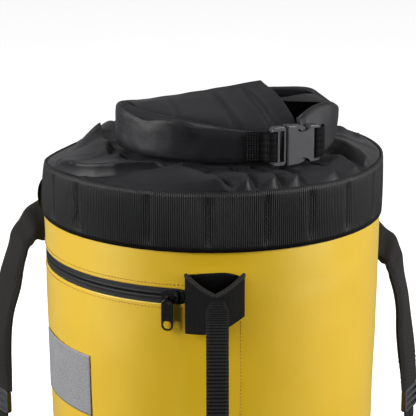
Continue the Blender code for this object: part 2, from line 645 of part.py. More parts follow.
def build_slider(tape_radius, teeth_radius):
    plate_low = teeth_radius + FIT
    plate_high = plate_low + SLIDER_PLATE
    axes = wall_frame(0, SLIDER_AZIMUTH, ZIP_HEIGHT)
    axis = (0, 0, ZIP_HEIGHT)
    nose = SLIDER_LENGTH / 2
    wide, narrow = SLIDER_WIDTH / 2, SLIDER_WIDTH / 2 - 0.0012
    outline = [
        (-nose, -narrow), (-nose + 0.003, -wide), (nose - 0.001, -wide), (nose, -narrow),
        (nose, narrow), (nose - 0.001, wide), (-nose + 0.003, wide), (-nose, narrow),
    ]
    slider = prism("zip_slider", outline, plate_low, plate_high, axes, ZIP_METAL, pivot=axis)
    for side in (-1, 1):
        height = side * (wide - SLIDER_FLANGE / 2)
        flange = box(SLIDER_LENGTH - 0.0045, SLIDER_FLANGE, 0.0008, height)
        part = prism(f"flange_{side}", flange, tape_radius + FIT, plate_low + 0.0004, axes, None, axis, True)
        boolean(slider, part, "UNION")
    back_high = tape_radius - TAPE_THICKNESS - FIT
    back_low = back_high - SLIDER_PLATE
    neck = box(0.0030, SLIDER_NECK, nose - 0.0030)
    part = prism("neck", neck, back_high - 0.0004, plate_low + 0.0004, axes, None, axis, True)
    boolean(slider, part, "UNION")
    back = box(SLIDER_LENGTH - 0.002, SLIDER_WIDTH - 0.0024)
    boolean(slider, prism("back_plate", back, back_low, back_high, axes, None, axis, True), "UNION")
    arch_base = plate_high - 0.0004
    arch_top = plate_high + BAIL_HEIGHT
    arch = box(BAIL_LENGTH, BAIL_ROD)
    boolean(slider, prism("bail", arch, arch_base, arch_top, axes, None, axis, True), "UNION")
    room = box(BAIL_LENGTH - 2 * BAIL_ROD, BAIL_ROD + 0.002)
    part = prism("bail_room", room, plate_high, arch_top - BAIL_ROD, axes, None, axis, True)
    boolean(slider, part, "DIFFERENCE")
    build_pull(arch_top - BAIL_ROD / 2)


def build_pull(rod_radius):
    """The pull hangs from an eye round the bail's rod, and turns about that rod."""
    at_rod = wall_frame(rod_radius, SLIDER_AZIMUTH, ZIP_HEIGHT)
    half = PULL_THICKNESS / 2
    length = PULL_LENGTH - PULL_EYE
    centre = -PULL_EYE - length / 2 + 0.0008
    at_rod = at_rod @ Matrix.Translation((PULL_OFFSET, 0, 0))
    plate = rounded(PULL_WIDTH, length, PULL_WIDTH / 2 - 0.0002, 0, centre, 5)
    pull = prism("zip_pull", plate, -half, half, at_rod, ZIP_METAL, bevel=0.0003)
    side_view = at_rod @ Matrix.Rotation(pi / 2, 4, "Y")
    eye = prism("eye", ellipse(PULL_EYE, PULL_EYE, 0, 0, 20), -0.0012, 0.0012, side_view, None, helper=True)
    boolean(pull, eye, "UNION")
    circle = ellipse(PULL_EYE_BORE, PULL_EYE_BORE, 0, 0, 16)
    bore = prism("eye_bore", circle, -0.006, 0.006, side_view, None, helper=True)
    boolean(pull, bore, "DIFFERENCE")
    hole_length = 0.0070
    hole_centre = centre - length / 2 + 0.0014 + hole_length / 2
    hole = rounded(PULL_WIDTH - 0.0028, hole_length, 0.0032, 0, hole_centre, 4)
    boolean(pull, prism("pull_hole", hole, -0.004, 0.004, at_rod, None, helper=True), "DIFFERENCE")


# ---- Front carry handle ------------------------------------------------------------------------------------


def fold_depths():
    """Distance from the bag's axis of the patch's face, and of the folded webbing's front edge."""
    face = wall_radius(HANDLE_TOP) + FIT + PATCH_THICKNESS
    return face, face + FOLD_STANDOFF


def build_handle_end(name, low, high, left_low, right_low, upside_down):
    """A patch on the wall and a webbing fold that stands out from it in a V."""
    spread = degrees_along(PATCH_WIDTH / 2, high)
    inner_low, inner_high = wall_radius(low) + FIT, wall_radius(high) + FIT
    profile = [
        (inner_low, low), (inner_low + PATCH_THICKNESS, low), (inner_high + PATCH_THICKNESS, high),
        (inner_high, high),
    ]
    start, end = HANDLE_AZIMUTH - spread, HANDLE_AZIMUTH + spread
    revolve(f"handle_{name}_patch", profile, WEBBING, start, end)
    face, apex = fold_depths()
    edge = spread - 0.35
    standoff = FIT + FOLD_THICKNESS
    drop = 0.009
    top, bottom = high - 0.001, low + 0.002
    low_edges = {-1: left_low, 1: right_low}
    left, right = (
        tuple(on_ring(face + standoff, HANDLE_AZIMUTH + side * edge, z) for z in (top, low_edges[side]))
        for side in (-1, 1)
    )
    middle = (on_ring(apex, HANDLE_AZIMUTH, top - drop), on_ring(apex, HANDLE_AZIMUTH, bottom + drop))
    columns = [left, middle, right]
    if upside_down:
        columns = [
            (Vector((a.x, a.y, low + high - b.z)), Vector((b.x, b.y, low + high - a.z))) for a, b in columns
        ]

    def point(u, v):
        span, share = (0, 2 * v) if v <= 0.5 else (1, 2 * v - 1)
        high_edge = columns[span][0].lerp(columns[span + 1][0], share)
        low_edge = columns[span][1].lerp(columns[span + 1][1], share)
        return low_edge.lerp(high_edge, u)

    sheet(f"handle_{name}_fold", point, 1, 6, FOLD_THICKNESS, WEBBING)


def build_handle():
    top_low = HANDLE_TOP - PATCH_HEIGHT
    bottom_high = HANDLE_BOTTOM + PATCH_HEIGHT
    build_handle_end("top", top_low, HANDLE_TOP, top_low + 0.002, top_low + 0.0165, False)
    build_handle_end("bottom", HANDLE_BOTTOM, bottom_high, HANDLE_BOTTOM + 0.002, HANDLE_BOTTOM + 0.002, True)
    _, apex = fold_depths()
    near = apex + FOLD_THICKNESS + GRIP_CLEARANCE + GRIP_THICKNESS / 2
    top, bottom = HANDLE_TOP - 0.014, HANDLE_BOTTOM + 0.014
    middle = (top + bottom) / 2
    reach = (top - bottom) / 2
    across = Vector((cos(radians(HANDLE_AZIMUTH)), sin(radians(HANDLE_AZIMUTH)), 0))
    shares = [1, 0.86, 0.6, 0.3, 0, -0.3, -0.6, -0.86, -1]
    stations = []
    for s in shares:
        bow = GRIP_BOW * (1 - s * s) ** 0.8
        stations.append((on_ring(near + bow, HANDLE_AZIMUTH, middle + s * reach), across))
    axis = on_ring(near, HANDLE_AZIMUTH, middle)
    ribbon("front_grip", stations, GRIP_WIDTH, GRIP_THICKNESS, 24, WEBBING, pivot=axis)


# ---- Patches, loops and back pad ---------------------------------------------------------------------------


def wall_patch(name, start, end, low, high, thickness, finish_material):
    """A flat piece sewn on the outside of the tapered wall."""
    inner_low, inner_high = wall_radius(low) + FIT, wall_radius(high) + FIT
    profile = [
        (inner_low, low), (inner_low + thickness, low), (inner_high + thickness, high), (inner_high, high)
    ]
    return revolve(name, profile, finish_material, start, end)


def build_haul_loop(side, azimuth):
    """A short webbing arch sewn over the lower edge of the rim webbing."""
    middle = RIM_BOTTOM + 0.008
    axes = wall_frame(RIM_RADIUS + FIT + HAUL_THICKNESS / 2, azimuth, middle)

    def point(u, v):
        rise = HAUL_RISE * sin(pi * v) ** 0.7
        return axes @ Vector(((u - 0.5) * HAUL_WIDTH, (0.5 - v) * HAUL_LENGTH, rise + 0.0006))

    sheet(f"haul_loop_{side}", point, 1, 10, HAUL_THICKNESS, WEBBING)


def build_patches():
    label_low = LABEL_TOP - LABEL_HEIGHT
    wall_patch("grey_patch", LABEL_START, LABEL_END, label_low, LABEL_TOP, LABEL_THICKNESS, GREY_PRINT)
    wall_patch(
        "back_pad", 180 - BACK_PAD_SPREAD, 180 + BACK_PAD_SPREAD, BACK_PAD_BOTTOM, BACK_PAD_TOP,
        BACK_PAD_THICKNESS, FOAM_CLOTH,
    )
    low, high = BACK_PAD_TOP + 0.006, BACK_PAD_TOP + 0.006 + YOKE_HEIGHT
    wall_patch("strap_yoke", 180 - YOKE_SPREAD, 180 + YOKE_SPREAD, low, high, YOKE_THICKNESS, WEBBING)
    for side, azimuth in HAUL_AZIMUTHS.items():
        build_haul_loop(side, azimuth)


# ---- Shoulder straps ---------------------------------------------------------------------------------------

# Each padded strap from its root on the yoke to its adjuster: azimuth, distance outside the wall, distance
# below the rim webbing, and the width's direction.
PAD_ROUTES = {
    "left": (
        (-164.3, 0.0065, 0.0240, (0, 0, 1)), (-144.9, 0.0166, 0.0240, (0, 0, 1)),
        (-129.9, 0.0340, 0.0300, (-0.1, 0.1, 1)), (-119.8, 0.0495, 0.0460, (0.35, -0.10, 0.9)),
        (-115.6, 0.0625, 0.0800, (0.70, -0.70, 0.30)), (-114.0, 0.0690, 0.1200, (0.62, -0.78, 0.10)),
        (-113.2, 0.0740, 0.1650, (0.60, -0.80, 0)), (-113.2, 0.0740, 0.2050, (0.60, -0.80, 0)),
    ),
    "right": (
        (164.3, 0.0065, 0.0240, (0, 0, 1)), (144.9, 0.0166, 0.0270, (0, 0, 1)),
        (130.3, 0.0320, 0.0410, (0.1, 0.1, 1)), (121.5, 0.0440, 0.0620, (-0.35, -0.10, 0.9)),
        (118.3, 0.0500, 0.0900, (-0.55, -0.80, 0.35)), (117.2, 0.0540, 0.1240, (-0.35, -0.93, 0.10)),
        (115.4, 0.0640, 0.1650, (-0.45, -0.88, 0)), (115.4, 0.0640, 0.2050, (-0.45, -0.88, 0)),
    ),
}
WEBBING_LEAD = 0.0150  # height that the webbing drops below the adjuster before it turns in


def foot_spread():
    return degrees_along(FOOT_LENGTH / 2, FOOT_CENTRE_HEIGHT)


def build_foot(side, sign):
    """A folded webbing foot sewn on the wall, which the strap's lower webbing comes out of."""
    spread = foot_spread()
    azimuth = sign * FOOT_AZIMUTH
    low, high = FOOT_CENTRE_HEIGHT - FOOT_HEIGHT / 2, FOOT_CENTRE_HEIGHT + FOOT_HEIGHT / 2
    wall_patch(f"strap_foot_{side}", azimuth - spread, azimuth + spread, low, high, FOOT_THICKNESS, WEBBING)


def build_strap(side, sign):
    outside = WALL_TOP_RADIUS
    route = []
    for azimuth, out, drop, across in PAD_ROUTES[side]:
        route.append((on_ring(outside + out, azimuth, RIM_BOTTOM - drop), across))
    root = route[0][0]
    ribbon(f"strap_pad_{side}", route, STRAP_WIDTH, STRAP_THICKNESS, 28, FOAM_CLOTH, pivot=root)
    down, across = Vector((0, 0, -1)), Vector(route[-1][1]).normalized()
    lock_centre = route[-1][0] + down * (LOCK_LENGTH / 2 + FIT + 0.0002)
    axes = frame_of(lock_centre, down, across, down.cross(across))
    half = LOCK_THICKNESS / 2
    lock = prism(
        f"ladder_lock_{side}", rounded(LOCK_LENGTH, LOCK_WIDTH, 0.004), -half, half, axes, PLASTIC,
        pivot=root, bevel=0.0008,
    )
    for k, x in enumerate((-0.0070, 0.0, 0.0070)):
        hole = box(LOCK_SLOT, STRAP_WEBBING_WIDTH + 0.0012, x)
        cutter = prism(f"lock_slot_{side}_{k}", hole, -0.006, 0.006, axes, None, helper=True)
        boolean(lock, cutter, "DIFFERENCE")
    build_strap_webbing(side, sign, axes)


def build_strap_webbing(side, sign, axes):
    """From under the adjuster down and in to the foot on the wall."""
    across = axes.to_3x3() @ Vector((0, 1, 0))
    azimuth = sign * FOOT_AZIMUTH
    radius = wall_radius(FOOT_CENTRE_HEIGHT) + FIT + FOOT_THICKNESS / 2
    edge = azimuth - sign * (foot_spread() + 0.15)
    at_foot = wall_frame(radius, edge, FOOT_CENTRE_HEIGHT)
    foot = at_foot.translation
    near = at_foot @ Vector((-sign * 0.012, 0, 0.0008))
    off = at_foot @ Vector((-sign * 0.027, 0.001, 0.0050))
    upright = Vector((0, 0, 1))
    top = axes @ Vector((LOCK_LENGTH / 2 + FIT + 0.0002, 0, 0))
    lower = top + Vector((0, 0, -WEBBING_LEAD))
    turn = lower.lerp(off, 0.45) + Vector((sign * 0.016, 0.004, -0.008))
    stations = (
        (top, across), (lower, across), (turn, (across * 0.6 + upright * 0.4)), (off, upright),
        (near, upright), (foot, upright),
    )
    ribbon(f"strap_webbing_{side}", stations, STRAP_WEBBING_WIDTH, STRAP_WEBBING_THICKNESS, 22, WEBBING)


def build_straps():
    for side, sign in (("left", -1), ("right", 1)):
        build_foot(side, sign)
        build_strap(side, sign)


# ---- The whole bag -----------------------------------------------------------------------------------------


def main():
    build_tube()
    build_rim()
    build_closure()
    build_buckle()
    build_zip()
    build_handle()
    build_patches()
    build_straps()


for startup in list(bpy.data.objects):
    bpy.data.objects.remove(startup)
main()
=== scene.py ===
from math import atan2, cos, degrees, exp, hypot, pi, radians, sin, sqrt

import bmesh
import bpy
from mathutils import Matrix, Vector, noise


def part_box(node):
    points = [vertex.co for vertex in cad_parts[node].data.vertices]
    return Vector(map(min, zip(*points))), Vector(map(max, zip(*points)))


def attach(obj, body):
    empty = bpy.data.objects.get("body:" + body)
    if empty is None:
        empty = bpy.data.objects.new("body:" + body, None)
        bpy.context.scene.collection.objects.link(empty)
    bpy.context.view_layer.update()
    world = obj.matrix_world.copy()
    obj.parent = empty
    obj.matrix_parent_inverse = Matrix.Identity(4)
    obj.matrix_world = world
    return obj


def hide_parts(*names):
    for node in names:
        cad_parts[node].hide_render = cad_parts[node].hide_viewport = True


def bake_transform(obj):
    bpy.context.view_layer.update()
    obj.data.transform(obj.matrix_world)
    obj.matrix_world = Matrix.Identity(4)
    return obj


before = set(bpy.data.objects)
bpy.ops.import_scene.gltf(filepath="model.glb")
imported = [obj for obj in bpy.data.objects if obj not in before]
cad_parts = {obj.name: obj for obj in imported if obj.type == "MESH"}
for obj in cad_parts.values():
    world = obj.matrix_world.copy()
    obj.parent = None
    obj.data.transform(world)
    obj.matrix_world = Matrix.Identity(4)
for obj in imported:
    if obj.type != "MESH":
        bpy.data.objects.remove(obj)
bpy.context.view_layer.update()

# ---- Sizes of the bag, in metres -------------------------------------------------------------------------

RIM_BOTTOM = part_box("rim_webbing")[0].z
RIM_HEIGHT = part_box("rim_webbing")[1].z
RIM_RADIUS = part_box("rim_webbing")[1].x
WEBBING_THICKNESS = 0.002
RIB_COUNT = 524  # ribs round the rim webbing
RIM_RIB_PITCH = 2 * pi * RIM_RADIUS / RIB_COUNT
WALL_THICKNESS = 0.0012
WALL_TOP_RADIUS = RIM_RADIUS - 0.0015
BASE_RADIUS = RIM_RADIUS - 0.0064
WALL_FOOT = 0.0033
WALL_RIM_RADIUS = RIM_RADIUS - WEBBING_THICKNESS - 0.0003
SKIRT_RADIUS = 0.1426

ZIP_HEIGHT = sum(corner.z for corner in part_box("zip_tape_upper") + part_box("zip_tape_lower")) / 4
ZIP_WINDOW = 0.0138
ZIP_START = -102.0
HANDLE_AZIMUTH = 0.9
PATCH_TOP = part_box("handle_top_patch")[1].z
PATCH_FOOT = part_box("handle_top_patch")[0].z
PATCH_WIDTH = 0.048
ZIP_END = HANDLE_AZIMUTH - degrees((PATCH_WIDTH / 2 + 0.0003) / 0.148)

# The rim is pushed in and down a little at the back left
SAG_AZIMUTH, SAG_SPREAD = -112.0, 62.0
SAG_DROP, SAG_LEAN = 0.0105, 0.005
SAG_FOOT = 0.376  # nothing sags below this height


def wall_radius(height):
    return BASE_RADIUS + (WALL_TOP_RADIUS - BASE_RADIUS) * height / RIM_BOTTOM


def on_ring(radius, azimuth, height):
    angle = radians(azimuth)
    return Vector((radius * sin(angle), -radius * cos(angle), height))


def outwards(azimuth):
    return Vector((sin(radians(azimuth)), -cos(radians(azimuth)), 0))


def along_wall(azimuth):
    return Vector((cos(radians(azimuth)), sin(radians(azimuth)), 0))


def azimuth_of(place):
    return degrees(atan2(place.x, -place.y))


def clamp(value, low=0.0, high=1.0):
    return max(low, min(high, value))


def smooth(value):
    value = clamp(value)
    return value * value * (3 - 2 * value)


def sag_share(azimuth):
    away = abs((azimuth - SAG_AZIMUTH + 180) % 360 - 180) / SAG_SPREAD
    return cos(pi / 2 * away) ** 2 if away < 1 else 0.0


def sagged(place, inner_fade=0.055):
    """Moves a point of the rim in and down where the rim sags; inside the rim the sag fades out."""
    share = sag_share(azimuth_of(place))
    radius = hypot(place.x, place.y)
    if not share or radius < 1e-6:
        return place
    up = clamp((place.z - SAG_FOOT) / (RIM_HEIGHT - SAG_FOOT), 0, 1.1) ** 1.5
    near = smooth(1 - (0.14 - radius) / inner_fade)
    share *= up * near
    pushed = place * 1
    pushed.xy = place.xy * (1 - SAG_LEAN * share / radius)
    pushed.z -= SAG_DROP * share
    return pushed


def metres(table):
    """The same nest of tuples with its millimetres turned into metres."""
    return tuple(metres(entry) for entry in table) if isinstance(table, tuple) else table / 1000


def through(points, t):
    """A point on the smooth curve through the given points, with t from 0 to 1."""
    spans = len(points) - 1
    span = min(int(clamp(t) * spans), spans - 1)
    s = clamp(t) * spans - span
    b, c = points[span], points[span + 1]
    a = points[span - 1] if span else b + (b - c)
    d = points[span + 2] if span + 2 <= spans else c + (c - b)
    return 0.5 * (2 * b + (c - a) * s + (2 * a - 5 * b + 4 * c - d) * s * s + (3 * b - 3 * c + d - a) * s**3)


# ---- Shader wiring ---------------------------------------------------------------------------------------


class Signal:
    """A socket that takes part in sums: each operator adds its Math node."""

    def __init__(self, recipe, socket):
        self.recipe, self.socket = recipe, socket

    def maths(self, operation, *values):
        return self.recipe.node("ShaderNodeMath", {"operation": operation}, dict(enumerate(values)))

    def __add__(self, other):
        return self.maths("ADD", self, other)

    def __sub__(self, other):
        return self.maths("SUBTRACT", self, other)

    def __rsub__(self, other):
        return self.maths("SUBTRACT", other, self)

    def __mul__(self, other):
        return self.maths("MULTIPLY", self, other)

    __radd__, __rmul__ = __add__, __mul__

    def sine(self):
        return self.maths("SINE", self)

    def largest(self, other):
        return self.maths("MAXIMUM", self, other)

    def smallest(self, other):
        return self.maths("MINIMUM", self, other)


class Recipe:
    """Wires up one finish."""

    def __init__(self, tree):
        self.tree = tree

    def node(self, kind, settings=None, inputs=None, output=0):
        made = self.tree.nodes.new(kind)
        for key, value in (settings or {}).items():
            setattr(made, key, value)
        for key, value in (inputs or {}).items():
            if isinstance(value, Signal):
                self.tree.links.new(value.socket, made.inputs[key])
            else:
                made.inputs[key].default_value = value
        return Signal(self, made.outputs[output]) if made.outputs else made

    def place(self):
        return self.node("ShaderNodeTexCoord", output="Object")

    def flat(self):
        """Metres along and across a piece of cloth, as it was cut."""
        uv = self.node("ShaderNodeUVMap", {"uv_map": "Flat"})
        return tuple(self.node("ShaderNodeSeparateXYZ", inputs={0: uv}, output=axis) for axis in (0, 1))

    def noise(self, scale, detail=2.0, roughness=0.5, vector=None):
        return self.node(
            "ShaderNodeTexNoise", {},
            {"Vector": vector or self.place(), "Scale": scale, "Detail": detail, "Roughness": roughness},
        )

    def mix(self, factor, a, b):
        """Mixes two colours."""
        return self.node("ShaderNodeMix", {"data_type": "RGBA"}, {0: factor, 6: a, 7: b}, output=2)

    def waves(self, along, pitch):
        """From 0 to 1 and back once a pitch."""
        return (along * (2 * pi / pitch)).sine() * 0.5 + 0.5

    def bump(self, height, distance, strength=1.0, normal=None):
        inputs = {"Height": height, "Distance": distance, "Strength": strength}
        if normal:
            inputs["Normal"] = normal
        return self.node("ShaderNodeBump", {}, inputs)


def colour(r, g, b):
    return (r, g, b, 1.0)


def finish_of(name, wire, sheen=0.0, sheen_roughness=0.4, specular=0.5, coat=0.0, coat_roughness=0.2, metallic=0.0,
              sheen_tint=(1, 1, 1), specular_tint=(1, 1, 1)):
    """A material: wire(recipe) gives its colour, roughness and normal."""
    made = bpy.data.materials.new(name)
    made.use_nodes = True
    shader = made.node_tree.nodes["Principled BSDF"]
    recipe = Recipe(made.node_tree)
    for socket, value in zip(("Base Color", "Roughness", "Normal"), wire(recipe)):
        if isinstance(value, Signal):
            made.node_tree.links.new(value.socket, shader.inputs[socket])
        elif value is not None:
            shader.inputs[socket].default_value = value
    shader.inputs["Specular IOR Level"].default_value = specular
    shader.inputs["Specular Tint"].default_value = (*specular_tint, 1)
    shader.inputs["Sheen Weight"].default_value = sheen
    shader.inputs["Sheen Roughness"].default_value = sheen_roughness
    shader.inputs["Sheen Tint"].default_value = (*sheen_tint, 1)
    shader.inputs["Coat Weight"].default_value = coat
    shader.inputs["Coat Roughness"].default_value = coat_roughness
    shader.inputs["Metallic"].default_value = metallic
    return made


# ---- Finishes --------------------------------------------------------------------------------------------


def coated_fabric(light, dark, weave_depth=0.00004, gloss=0.4):
    """PVC-coated cloth: the scrim's threads show faintly through a slightly uneven coating."""

    def wire(r):
        across, along = r.flat()
        scrim = r.waves(across, 0.0011) * 0.5 + r.waves(along, 0.0011) * 0.5
        blotch = r.noise(18, 3, 0.55)
        grain = r.noise(900, 2)
        orange_peel = r.noise(160, 2)
        scuff = ((r.noise(45, 5, 0.7) - 0.58) * 6).largest(0.0).smallest(1.0)
        tint = r.mix(blotch, colour(*dark), colour(*light))
        tint = r.mix(scrim * 0.07 + scuff * 0.05, tint, colour(*[c * 0.72 for c in dark]))
        roughness = gloss - 0.05 + blotch * 0.12 + scuff * 0.1
        low = r.bump(orange_peel, 0.001, 0.1)
        weave = r.bump(scrim, weave_depth, 0.8, low)
        return tint, roughness, r.bump(grain, 0.00005, 0.5, weave)

    return wire


def webbing_cloth(dark, light, rib_pitch, ribs_across=False, rib_depth=0.00025, dull=0.66):
    """Polyester webbing: ribs one way, fine picks the other, a little lint; the ribs' tops get a painted highlight and
    a lower roughness, the grooves between them painted shade.
    """

    def wire(r):
        across, along = r.flat()
        if ribs_across:
            across, along = along, across
        rib = r.waves(across, rib_pitch)
        picks = r.waves(along + (rib * 0.0002), 0.00085)
        fuzz = r.noise(1400, 3, 0.6)
        patchy = r.noise(30, 3)
        height = rib * 0.65 + picks * 0.25 + fuzz * 0.25
        # the rib term lightens the ribs' tops and darkens the grooves: a painted highlight and painted shade
        tint = r.mix(rib * 0.55 + picks * 0.15 + fuzz * 0.25 + patchy * 0.15, colour(*dark), colour(*light))
        roughness = dull + patchy * 0.12 - rib * 0.1
        return tint, roughness, r.bump(height, rib_depth)

    return wire


def nylon_cloth(r):
    """Thin coated nylon: a very fine plain weave with soft crumples."""
    across, along = r.flat()
    weave = r.waves(across, 0.0005) * 0.5 + r.waves(along, 0.0005) * 0.5
    crumple = r.noise(70, 4, 0.55)
    soft = r.noise(22, 3)
    dark, light = colour(0.0026, 0.0023, 0.0036), colour(0.007, 0.0062, 0.0088)
    tint = r.mix(soft * 0.5 + crumple * 0.3 + weave * 0.2, dark, light)
    roughness = 0.42 + crumple * 0.12 + weave * 0.05
    wrinkled = r.bump(crumple, 0.0014, 0.32)
    return tint, roughness, r.bump(weave, 0.00006, 0.5, wrinkled)


def moulded_plastic(r):
    """Satin acetal with a fine spark-eroded grain and rubbed places."""
    grain = r.noise(1600, 2)
    rubbed = r.noise(120, 4, 0.6)
    tint = r.mix(rubbed, colour(0.031, 0.031, 0.036), colour(0.056, 0.056, 0.063))
    return tint, 0.34 + rubbed * 0.16, r.bump(grain * 0.8 + rubbed * 0.2, 0.0001, 0.45)


def zip_cloth(r):
    """Herringbone tape."""
    across, along = r.flat()
    slant = r.waves(across + (r.waves(along, 0.003) * 0.0012), 0.0009)
    fuzz = r.noise(1500, 2)
    tint = r.mix(slant * 0.5 + fuzz * 0.5, colour(0.012, 0.012, 0.013), colour(0.034, 0.034, 0.036))
    return tint, 0.7 + fuzz * 0.1, r.bump(slant * 0.6 + fuzz * 0.4, 0.00012)


def coil_nylon(r):
    across, along = r.flat()
    turns = r.waves(across, 0.0012)
    tint = r.mix(turns * 0.7 + r.noise(700, 2) * 0.3, colour(0.004, 0.004, 0.005), colour(0.018, 0.018, 0.02))
    return tint, 0.5 + r.noise(300, 2) * 0.1, r.bump(turns, 0.0001, 0.6)


def painted_metal(r):
    """Black enamel over zinc, worn thin in places."""
    wear = ((r.noise(420, 4, 0.65) - 0.6) * 8).largest(0.0).smallest(1.0)
    tint = r.mix(wear, colour(0.014, 0.014, 0.015), colour(0.14, 0.14, 0.14))
    return tint, 0.26 + r.noise(200, 3) * 0.14, r.bump(r.noise(500, 3), 0.00008, 0.4)


def grey_film(r):
    """A welded grey reflective film with a fine cell pattern."""
    cells = r.node("ShaderNodeTexVoronoi", {"feature": "DISTANCE_TO_EDGE"}, {"Vector": r.place(), "Scale": 420.0})
    wall = (cells * 9).smallest(1.0)
    tint = r.mix(wall * 0.7 + r.noise(40, 3) * 0.3, colour(0.15, 0.15, 0.16), colour(0.31, 0.31, 0.32))
    return tint, 0.38 + r.noise(60, 3) * 0.12, r.bump(wall, 0.00006, 0.5)


def spacer_mesh(r):
    """Padded cloth: a small diamond knit with holes."""
    across, along = r.flat()
    knit = r.waves(across + along, 0.0024) * r.waves(across - along, 0.0024)
    holes = (knit * 3).smallest(1.0)
    fuzz = r.noise(1200, 3, 0.6)
    tint = r.mix(holes * 0.6 + fuzz * 0.3, colour(0.004, 0.0035, 0.0032), colour(0.017, 0.015, 0.014))
    return tint, 0.72 + fuzz * 0.12, r.bump(holes * 0.7 + fuzz * 0.3, 0.0004, 0.8)


def bare_plastic(r):
    cloudy = r.noise(40, 3)
    tint = r.mix(cloudy, colour(0.42, 0.42, 0.4), colour(0.56, 0.56, 0.53))
    return tint, 0.4 + cloudy * 0.15, r.bump(r.noise(300, 2), 0.0001, 0.4)


def twisted_thread(dark, light):
    def wire(r):
        strands = r.noise(2600, 2)
        return r.mix(strands, colour(*dark), colour(*light)), 0.5 + strands * 0.2, r.bump(strands, 0.00012, 0.6)

    return wire


YELLOW = finish_of(
    "coated_yellow", coated_fabric((0.78, 0.5, 0.003), (0.72, 0.43, 0.002)),
    sheen=0.3, sheen_roughness=0.45, sheen_tint=(0.8, 1.0, 0.6),
    coat=0.45, coat_roughness=0.4, specular=0.95, specular_tint=(0.8, 1.0, 0.8),
)
BLACK_COATED = finish_of(
    "coated_black", coated_fabric((0.026, 0.026, 0.027), (0.015, 0.015, 0.016), gloss=0.48),
    specular=0.4,
)
RIM_CLOTH = finish_of(
    "rim_webbing",
    webbing_cloth((0.0003, 0.0003, 0.0004), (0.0036, 0.0036, 0.0043), RIM_RIB_PITCH, rib_depth=0.00014, dull=0.52),
    specular=0.36,
)
WEBBING = finish_of(
    "webbing",
    webbing_cloth((0.0012, 0.0012, 0.0013), (0.0065, 0.0065, 0.0072), 0.0016, rib_depth=0.0002),
    specular=0.08,
)
RIBBED_WEBBING = finish_of(
    "ribbed_webbing",
    webbing_cloth((0.0012, 0.0012, 0.0013), (0.015, 0.015, 0.016), 0.0025, ribs_across=True, rib_depth=0.0005),
    sheen=0.02, sheen_roughness=0.5, specular=0.2,
)
NYLON = finish_of(
    "skirt_nylon", nylon_cloth, sheen=0.022, sheen_roughness=0.35, sheen_tint=(0.95, 0.9, 1.0), specular=0.33,
)
PLASTIC = finish_of("buckle_plastic", moulded_plastic)
ZIP_CLOTH = finish_of("zip_tape", zip_cloth, sheen=0.05, specular=0.3)
COIL = finish_of("zip_teeth", coil_nylon, specular=0.28)
METAL = finish_of("zip_metal", painted_metal, metallic=0.35, coat=0.3, coat_roughness=0.15)
GREY_FILM = finish_of("grey_patch", grey_film)
PADDED_CLOTH = finish_of(
    "padded_cloth", spacer_mesh, sheen=0.05, sheen_roughness=0.5, sheen_tint=(1, 0.95, 0.9), specular=0.25,
)
BARE_PLASTIC = finish_of("stiffener", bare_plastic)
BLACK_THREAD = finish_of(
    "black_thread", twisted_thread((0.004, 0.004, 0.004), (0.03, 0.03, 0.032)), specular=0.4,
)
GOLD_THREAD = finish_of("gold_thread", twisted_thread((0.4, 0.17, 0.01), (0.62, 0.33, 0.06)))

# ---- Making pieces ---------------------------------------------------------------------------------------


def settle(bm, name, finish, sharp=35):
    """Turns a bmesh in the bag's own coordinates into an object at the origin."""
    bm.normal_update()
    mesh = bpy.data.meshes.new(name)
    bm.to_mesh(mesh)
    bm.free()
    mesh.shade_smooth()
    mesh.set_sharp_from_angle(angle=radians(sharp))
    mesh.materials.append(finish)
    made = bpy.data.objects.new(name, mesh)
    bpy.context.scene.collection.objects.link(made)
    return made


def finished(made, nodes=(), body=None):
    """Hides the CAD nodes that a piece stands for, and hangs it on the body that it rides on."""
    if nodes:
        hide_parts(*nodes)
    if body:
        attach(made, body)
    return made


def thicken(made, thickness, even=True):
    solid = made.modifiers.new("Thickness", "SOLIDIFY")
    solid.thickness = thickness
    solid.offset = 0
    solid.use_even_offset = even
    return made


def cloth(name, point, columns, rows, size, finish, wrap=False, caps=False, hole=None, sharp=35):
    """A grid laid on point(u, v), with u and v from 0 to 1. Its Flat map holds the cut size in metres."""
    bm = bmesh.new()
    flat = bm.loops.layers.uv.new("Flat")
    bmesh.ops.create_grid(bm, x_segments=columns, y_segments=rows, size=0.5)
    if hole:
        doomed = []
        for face in bm.faces:
            middle = face.calc_center_median()
            if hole(middle.x + 0.5, middle.y + 0.5):
                doomed.append(face)
        bmesh.ops.delete(bm, geom=doomed, context="FACES")
    for face in bm.faces:
        for loop in face.loops:
            loop[flat].uv = ((loop.vert.co.x + 0.5) * size[0], (loop.vert.co.y + 0.5) * size[1])
    for vert in bm.verts:
        vert.co = point(vert.co.x + 0.5, vert.co.y + 0.5)
    if wrap:
        bmesh.ops.remove_doubles(bm, verts=bm.verts[:], dist=1e-6)
    if caps:
        bmesh.ops.holes_fill(bm, edges=[e for e in bm.edges if e.is_boundary])
        bmesh.ops.recalc_face_normals(bm, faces=bm.faces[:])
    return settle(bm, name, finish, sharp)


def oval(low, high, out, thickness, u, squareness=0.55):
    """A point round a flattened roll that has its edges at low and high and its faces along out."""
    angle = 2 * pi * u
    c, s = cos(angle), sin(angle)
    up = abs(c) ** squareness * (1 if c > 0 else -1)
    side = abs(s) ** squareness * (1 if s > 0 else -1)
    return (low + high) / 2 + (high - low) / 2 * up + out * (thickness / 2 * side)


